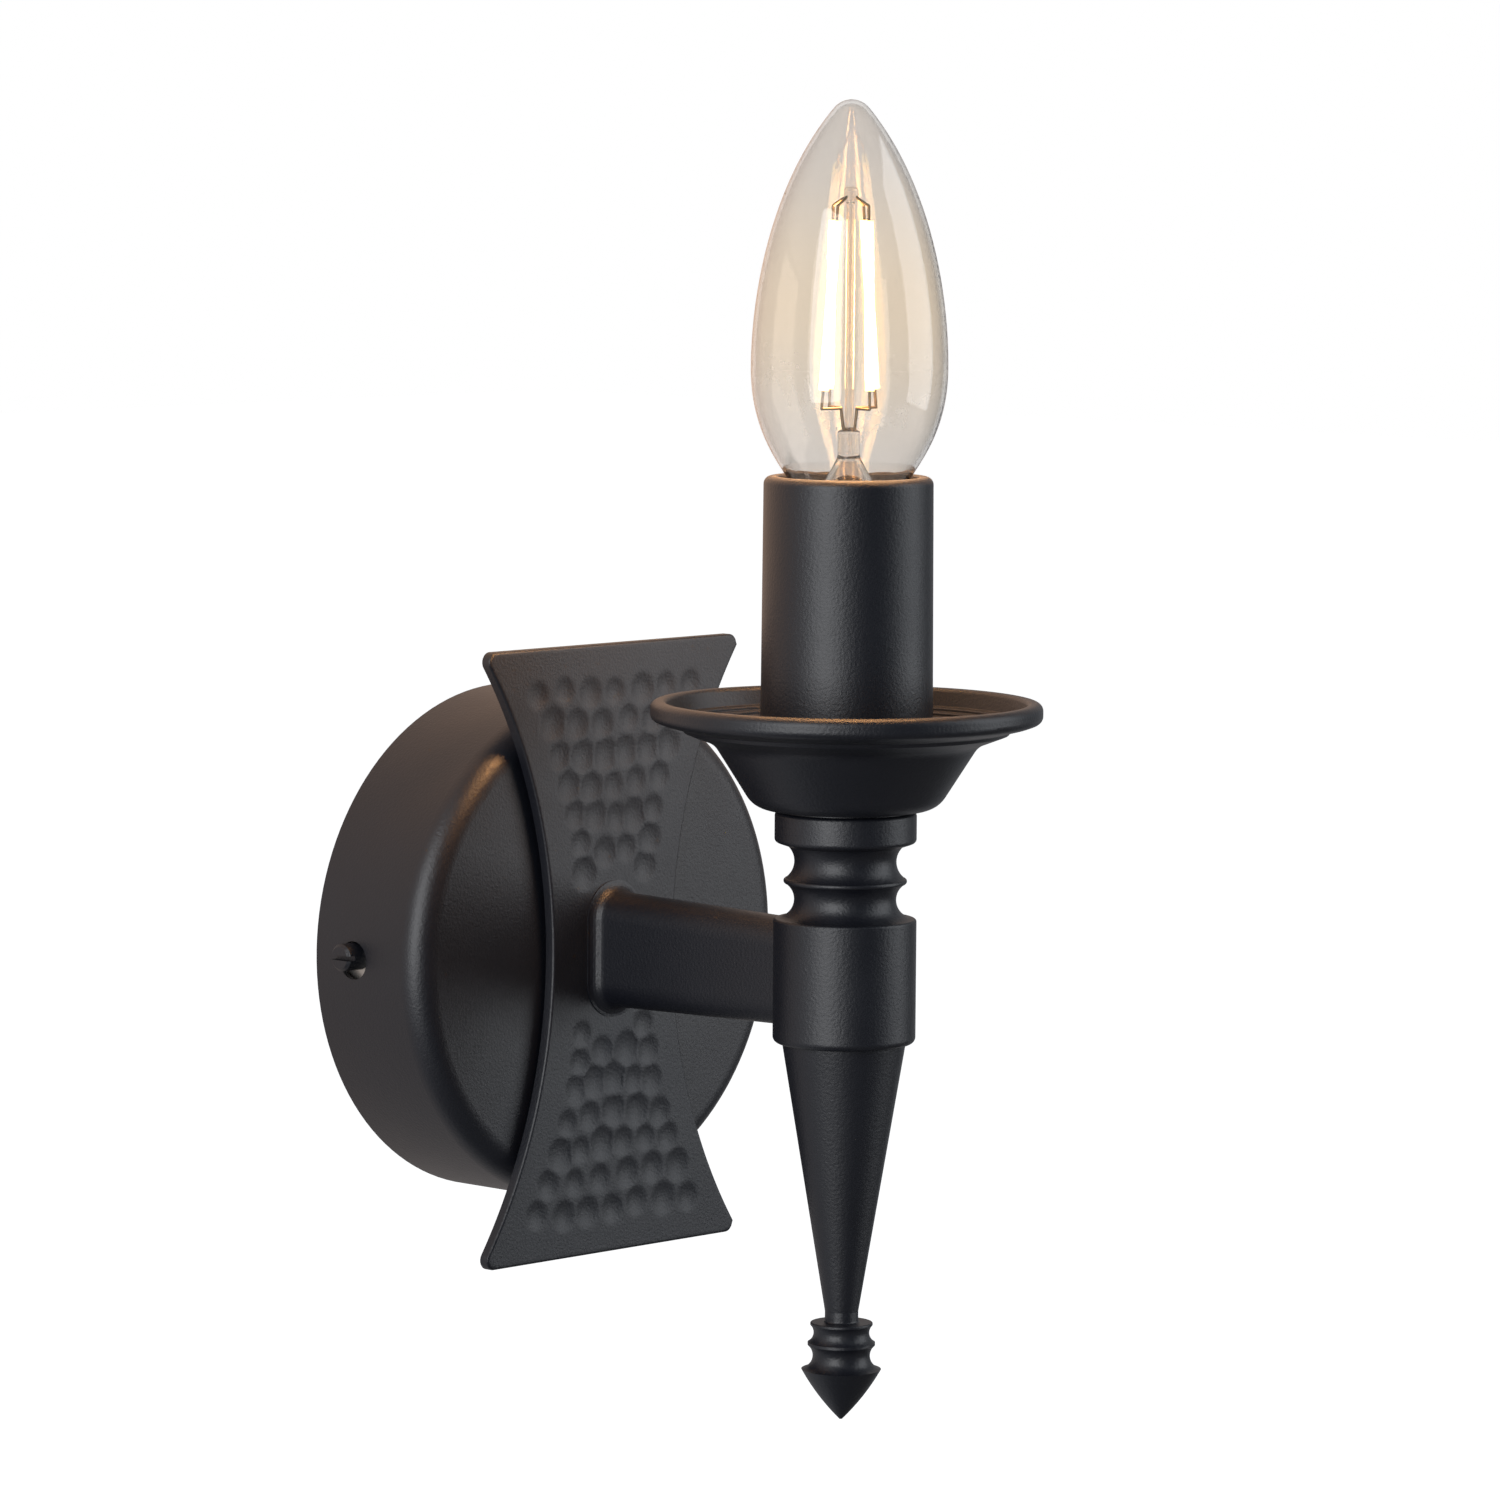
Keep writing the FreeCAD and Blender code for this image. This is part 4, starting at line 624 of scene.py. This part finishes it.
def side_curve(tree, z, entry):
    """The half width of the hollow side at a height, in nodes."""
    under = calc(tree, "SUBTRACT", calc(tree, "POWER", entry.outputs["Side Radius"], 2.0),
                 calc(tree, "POWER", z, 2.0))
    centre = calc(tree, "ADD", entry.outputs["Waist Half"], entry.outputs["Side Radius"])
    return calc(tree, "SUBTRACT", centre, calc(tree, "SQRT", under))


def spread(tree, points, x, z):
    """Points moved to x and z on the strap."""
    place = add(tree, "ShaderNodeCombineXYZ", {"X": x, "Z": z})
    moved = add(tree, "GeometryNodeSetPosition", {"Geometry": points, "Position": place.outputs[0]})
    return moved.outputs[0]


def hammer_tree():
    """Rows of marks that bow round the arm and spread with the strap's sides, on both halves."""
    tree = bpy.data.node_groups.new("hammer_marks", "GeometryNodeTree")
    entry, leave = sockets(tree, [
        ("Geometry", "Geometry", None), ("Waist Half", "Float", 0.0), ("Side Radius", "Float", 0.0),
        ("Side Margin", "Float", 0.0), ("Row First", "Float", 0.0), ("Row Pitch", "Float", 0.0),
        ("Row Bow", "Float", 0.0), ("Rows", "Int", 2), ("Pair Half", "Float", 0.0),
        ("Pair Height", "Float", 0.0), ("Mark Pitch", "Float", 0.0), ("Pitch Growth", "Float", 0.0),
        ("Mark Radius", "Float", 0.0), ("Mark Depth", "Float", 0.0), ("Jitter", "Float", 0.0),
        ("Face", "Float", 0.0), ("Seed", "Int", 0), ("Finish", "Material", None)],
        [("Geometry", "Geometry")])
    given = entry.outputs
    index = tree.nodes.new("GeometryNodeInputIndex").outputs[0]
    # the lone pair beside the arm
    pair = add(tree, "GeometryNodeMeshLine", {"Count": 2}).outputs[0]
    pair_x = calc(tree, "MULTIPLY", calc(tree, "MULTIPLY_ADD", index, 2.0, -1.0), given["Pair Half"])
    pair = spread(tree, pair, pair_x, given["Pair Height"])
    # rows as wide as the strap allows
    line = add(tree, "GeometryNodeMeshLine", {"Count": given["Rows"]}).outputs[0]
    row_z = calc(tree, "MULTIPLY_ADD", index, given["Row Pitch"], given["Row First"])
    reach = calc(tree, "SUBTRACT", side_curve(tree, row_z, entry), given["Side Margin"])
    pitch = calc(tree, "MULTIPLY_ADD", index, given["Pitch Growth"], given["Mark Pitch"])
    count = calc(tree, "ROUND", calc(tree, "DIVIDE", calc(tree, "MULTIPLY", reach, 2.0), pitch))
    count = calc(tree, "ADD", count, 1.0)
    outward = calc(tree, "DIVIDE", index, calc(tree, "SUBTRACT", given["Rows"], 1.0))
    bow = calc(tree, "MULTIPLY", calc(tree, "SUBTRACT", 1.0, outward), given["Row Bow"])
    kept = tree.nodes.new("GeometryNodeCaptureAttribute")
    for name in ("z", "reach", "count", "bow"):
        kept.capture_items.new("FLOAT", name)
    tree.links.new(line, kept.inputs["Geometry"])
    for name, value in (("z", row_z), ("reach", reach), ("count", count), ("bow", bow)):
        tree.links.new(value, kept.inputs[name])
    copies = add(tree, "GeometryNodeDuplicateElements",
                 {"Geometry": kept.outputs["Geometry"], "Amount": kept.outputs["count"]}, domain="POINT")
    share = calc(tree, "DIVIDE", copies.outputs["Duplicate Index"],
                 calc(tree, "SUBTRACT", kept.outputs["count"], 1.0))
    across = calc(tree, "MULTIPLY_ADD", share, 2.0, -1.0)
    towards_side = calc(tree, "POWER", calc(tree, "ABSOLUTE", across), 2.0)
    drop = calc(tree, "MULTIPLY", kept.outputs["bow"], towards_side)
    rows = spread(tree, copies.outputs[0], calc(tree, "MULTIPLY", kept.outputs["reach"], across),
                  calc(tree, "ADD", kept.outputs["z"], drop))
    # both halves, knocked a little out of line
    half = tree.nodes.new("GeometryNodeJoinGeometry")
    for part in (pair, rows):
        tree.links.new(part, half.inputs[0])
    lower = add(tree, "GeometryNodeTransform", {"Geometry": half.outputs[0], "Scale": (1, 1, -1)})
    marks = tree.nodes.new("GeometryNodeJoinGeometry")
    tree.links.new(half.outputs[0], marks.inputs[0])
    tree.links.new(lower.outputs[0], marks.inputs[0])
    wobble = add(tree, "FunctionNodeRandomValue", {"Seed": given["Seed"], "Min": (-1, 0, -1),
                                                   "Max": (1, 0, 1)}, data_type="FLOAT_VECTOR")
    shift = add(tree, "ShaderNodeVectorMath", {0: wobble.outputs[0], "Scale": given["Jitter"]},
                operation="SCALE")
    level = add(tree, "ShaderNodeCombineXYZ", {"Y": given["Face"]})
    offset = add(tree, "ShaderNodeVectorMath", {0: shift.outputs[0], 1: level.outputs[0]})
    moved = add(tree, "GeometryNodeSetPosition", {"Geometry": marks.outputs[0],
                                                  "Offset": offset.outputs[0]})
    # every point of the face sinks by its distance from the nearest mark
    near = add(tree, "GeometryNodeProximity", {"Geometry": moved.outputs[0]}, target_element="POINTS")
    which = add(tree, "GeometryNodeSampleNearest", {"Geometry": moved.outputs[0]}, domain="POINT")
    lightest, heaviest = MARK_HEFT
    heft = add(tree, "FunctionNodeRandomValue", {"Min": lightest, "Max": heaviest, "ID": which.outputs[0],
                                                 "Seed": calc(tree, "ADD", given["Seed"], 1.0)},
               data_type="FLOAT")
    radius = calc(tree, "MULTIPLY", given["Mark Radius"], heft.outputs[1])
    depth = calc(tree, "MULTIPLY", given["Mark Depth"], heft.outputs[1])
    ratio = calc(tree, "DIVIDE", near.outputs["Distance"], radius)
    cup = calc(tree, "SUBTRACT", 1.0, calc(tree, "POWER", ratio, 2.0), clamp=True)
    cup = calc(tree, "POWER", cup, MARK_FALLOFF)
    sink = add(tree, "ShaderNodeCombineXYZ", {"Y": calc(tree, "MULTIPLY", cup, depth)})
    place = tree.nodes.new("GeometryNodeInputPosition")
    y = add(tree, "ShaderNodeSeparateXYZ", {0: place.outputs[0]}).outputs["Y"]
    behind_face = calc(tree, "SUBTRACT", y, given["Face"])
    on_face = add(tree, "FunctionNodeCompare", {0: behind_face, 1: FACE_TOLERANCE},
                  data_type="FLOAT", operation="LESS_THAN")
    beaten = add(tree, "GeometryNodeSetPosition", {
        "Geometry": given["Geometry"], "Selection": on_face.outputs[0], "Offset": sink.outputs[0]})
    real = add(tree, "GeometryNodeRealizeInstances", {"Geometry": beaten.outputs[0]})
    coat = add(tree, "GeometryNodeSetMaterial", {"Geometry": real.outputs[0], "Material": given["Finish"]})
    tree.links.new(coat.outputs[0], leave.inputs[0])
    return tree


def hammered_strap(finish):
    """The strap with its marks, in place of the frame's plain one."""
    piece = grow(strap_blank(), hammer_tree(), {
        "Waist Half": STRAP_WAIST_HALF, "Side Radius": SIDE_RADIUS, "Side Margin": SIDE_MARGIN,
        "Row First": ROW_FIRST, "Row Pitch": ROW_PITCH, "Row Bow": ROW_BOW, "Rows": ROWS,
        "Pair Half": PAIR_HALF, "Pair Height": PAIR_HEIGHT, "Mark Pitch": MARK_PITCH,
        "Pitch Growth": PITCH_GROWTH, "Mark Radius": MARK_RADIUS, "Mark Depth": MARK_DEPTH,
        "Jitter": MARK_JITTER, "Face": float(STRAP_LOW[1]), "Seed": MARK_SEED, "Finish": finish})
    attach(piece, "fixture")
    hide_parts("hammered_strap")


# ---------------------------------------------------------------- screw threads

def lathe(name, outline, sides, step):
    """A blank turned about the torch's axis from (radius, height) points, cut fine along its height."""
    points = []
    for (r0, z0), (r1, z1) in zip(outline, outline[1:] + outline[:1]):
        count = max(1, math.ceil(abs(z1 - z0) / step))
        points += [(r0 + (r1 - r0) * i / count, z0 + (z1 - z0) * i / count) for i in range(count)]
    turns = [2 * math.pi * i / sides for i in range(sides)]
    verts = [(r * math.cos(a), TORCH_Y + r * math.sin(a), z) for r, z in points for a in turns]
    faces = []
    for ring in range(len(points)):
        above = (ring + 1) % len(points)
        faces += [(ring * sides + i, ring * sides + (i + 1) % sides,
                   above * sides + (i + 1) % sides, above * sides + i) for i in range(sides)]
    return mesh_object(name, verts, faces)


def thread_tree():
    """Sinks a turned blank's wall along a right-handed helix, as a rolled thread is.

    Below Low the wall sinks by Foot of the depth, and nothing sinks past Least Radius."""
    tree = bpy.data.node_groups.new("screw_thread", "GeometryNodeTree")
    entry, leave = sockets(tree, [
        ("Geometry", "Geometry", None), ("Axis", "Vector", None), ("Pitch", "Float", 0.001),
        ("Depth", "Float", 0.0), ("Low", "Float", 0.0), ("High", "Float", 0.0), ("Fade", "Float", 0.001),
        ("Foot", "Float", 0.0), ("Least Radius", "Float", 0.0), ("Finish", "Material", None)],
        [("Geometry", "Geometry")])
    given = entry.outputs
    place = tree.nodes.new("GeometryNodeInputPosition").outputs[0]
    arm = add(tree, "ShaderNodeVectorMath", {0: place, 1: given["Axis"]}, operation="SUBTRACT").outputs[0]
    x, y, z = add(tree, "ShaderNodeSeparateXYZ", {0: arm}).outputs
    radius = calc(tree, "SQRT", calc(tree, "MULTIPLY_ADD", x, x, calc(tree, "MULTIPLY", y, y)))
    climb = calc(tree, "MULTIPLY", calc(tree, "DIVIDE", z, given["Pitch"]), 2 * math.pi)
    wave = calc(tree, "COSINE", calc(tree, "SUBTRACT", climb, calc(tree, "ARCTAN2", y, x)))
    valley = calc(tree, "MULTIPLY_ADD", wave, -0.5, 0.5)
    begun = add(tree, "ShaderNodeMapRange", {
        "Value": z, "From Min": given["Low"], "From Max": calc(tree, "ADD", given["Low"], given["Fade"])},
        interpolation_type="SMOOTHSTEP").outputs[0]
    fading = calc(tree, "SUBTRACT", given["High"], given["Fade"])
    ended = add(tree, "ShaderNodeMapRange", {
        "Value": z, "From Min": fading, "From Max": given["High"], "To Min": 1.0, "To Max": 0.0},
        interpolation_type="SMOOTHSTEP").outputs[0]
    # sockets 0, 2 and 3 of a Mix node are its factor and its two numbers
    share = add(tree, "ShaderNodeMix", {0: begun, 2: given["Foot"], 3: valley}).outputs[0]
    sunk = calc(tree, "MULTIPLY", calc(tree, "MULTIPLY", share, ended), given["Depth"])
    held = calc(tree, "MAXIMUM", calc(tree, "SUBTRACT", radius, sunk),
                calc(tree, "MINIMUM", radius, given["Least Radius"]))
    pull = calc(tree, "DIVIDE", held, radius)
    flat = add(tree, "ShaderNodeCombineXYZ", {"X": calc(tree, "MULTIPLY", x, pull),
                                              "Y": calc(tree, "MULTIPLY", y, pull), "Z": z})
    back = add(tree, "ShaderNodeVectorMath", {0: flat.outputs[0], 1: given["Axis"]}).outputs[0]
    cut = add(tree, "GeometryNodeSetPosition", {"Geometry": given["Geometry"], "Position": back})
    real = add(tree, "GeometryNodeRealizeInstances", {"Geometry": cut.outputs[0]})
    coat = add(tree, "GeometryNodeSetMaterial", {"Geometry": real.outputs[0], "Material": given["Finish"]})
    tree.links.new(coat.outputs[0], leave.inputs[0])
    return tree


def cap_thread(tree, finish):
    """The bulb's thin cap: a rounded foot, the threaded wall, a flare and a plain rim."""
    low, top = CAP_LOW[2], CAP_HIGH[2]
    foot = low + CAP_BOTTOM_ROUND
    foot_radius = CAP_BOTTOM_RADIUS + (CAP_RADIUS - CAP_BOTTOM_RADIUS) * CAP_ROUND_MIDDLE
    foot_height = low + CAP_BOTTOM_ROUND * (1 - CAP_ROUND_MIDDLE)
    rim = CAP_HIGH[0]
    sheet = CAP_SHEET
    outside = [(CAP_BOTTOM_RADIUS, low), (foot_radius, foot_height), (CAP_RADIUS, foot),
               (CAP_RADIUS, CAP_THREAD_TOP), (rim, CAP_RIM_BOTTOM), (rim, top)]
    inside = [(rim - sheet, top), (rim - sheet, CAP_RIM_BOTTOM + sheet / 2),
              (CAP_RADIUS - sheet, CAP_THREAD_TOP + sheet / 2), (CAP_RADIUS - sheet, foot + sheet / 2),
              (CAP_BOTTOM_RADIUS, low + sheet)]
    cap = lathe("bulb_cap_thread", outside + inside, CAP_SIDES, CAP_PITCH / CAP_CUTS)
    grow(cap, tree, {"Axis": tuple(TORCH), "Pitch": CAP_PITCH, "Depth": CAP_THREAD_DEPTH, "Low": foot,
                     "High": CAP_THREAD_TOP, "Fade": THREAD_FADE, "Foot": 1.0,
                     "Least Radius": CAP_FLOOR_RADIUS, "Finish": finish})
    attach(cap, "bulb")
    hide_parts("bulb_cap")


def shell_thread(tree, finish):
    """The lampholder's brass shell, on the same helix as the cap and outside it."""
    outer, low, top = SHELL_HIGH[0], SHELL_LOW[2], SHELL_HIGH[2]
    inner = outer - SHELL_SHEET
    shell = lathe("holder_shell_thread", [(outer, low), (outer, top), (inner, top), (inner, low)],
                  CAP_SIDES, CAP_PITCH / CAP_CUTS)
    grow(shell, tree, {"Axis": tuple(TORCH), "Pitch": CAP_PITCH, "Depth": CAP_THREAD_DEPTH, "Low": low,
                       "High": min(top, CAP_THREAD_TOP), "Fade": THREAD_FADE, "Foot": 0.0,
                       "Least Radius": 0.0, "Finish": finish})
    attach(shell, "fixture")
    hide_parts("holder_shell")


def rod_thread(tree, finish):
    """The hollow rod that clamps the torch's stack, threaded from end to end."""
    outer, low, top = ROD_HIGH[0], ROD_LOW[2], ROD_HIGH[2]
    rod = lathe("threaded_rod_thread", [(outer, low), (outer, top), (ROD_BORE, top), (ROD_BORE, low)],
                ROD_SIDES, ROD_PITCH / ROD_CUTS)
    grow(rod, tree, {"Axis": tuple(TORCH), "Pitch": ROD_PITCH, "Depth": ROD_THREAD_DEPTH,
                     "Low": low - ROD_PITCH, "High": top + ROD_PITCH, "Fade": ROD_PITCH / 2, "Foot": 0.0,
                     "Least Radius": ROD_BORE, "Finish": finish})
    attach(rod, "fixture")
    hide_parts("threaded_rod")


def screw_threads(finishes):
    """The bulb's cap, the brass shell it turns in and the hollow rod, each with its thread."""
    tree = thread_tree()
    cap_thread(tree, finishes["nickel"])
    shell_thread(tree, finishes["brass"])
    rod_thread(tree, finishes["zinc_plate"])


# ---------------------------------------------------------------- making

make_camera()
make_world()
make_floor()
make_wall()
light_studio()
finishes = make_finishes()
wear_finishes(finishes)
hammered_strap(finishes["black_paint"])
screw_threads(finishes)

bpy.context.scene.view_settings.view_transform = "Standard"
bpy.context.view_layer.update()
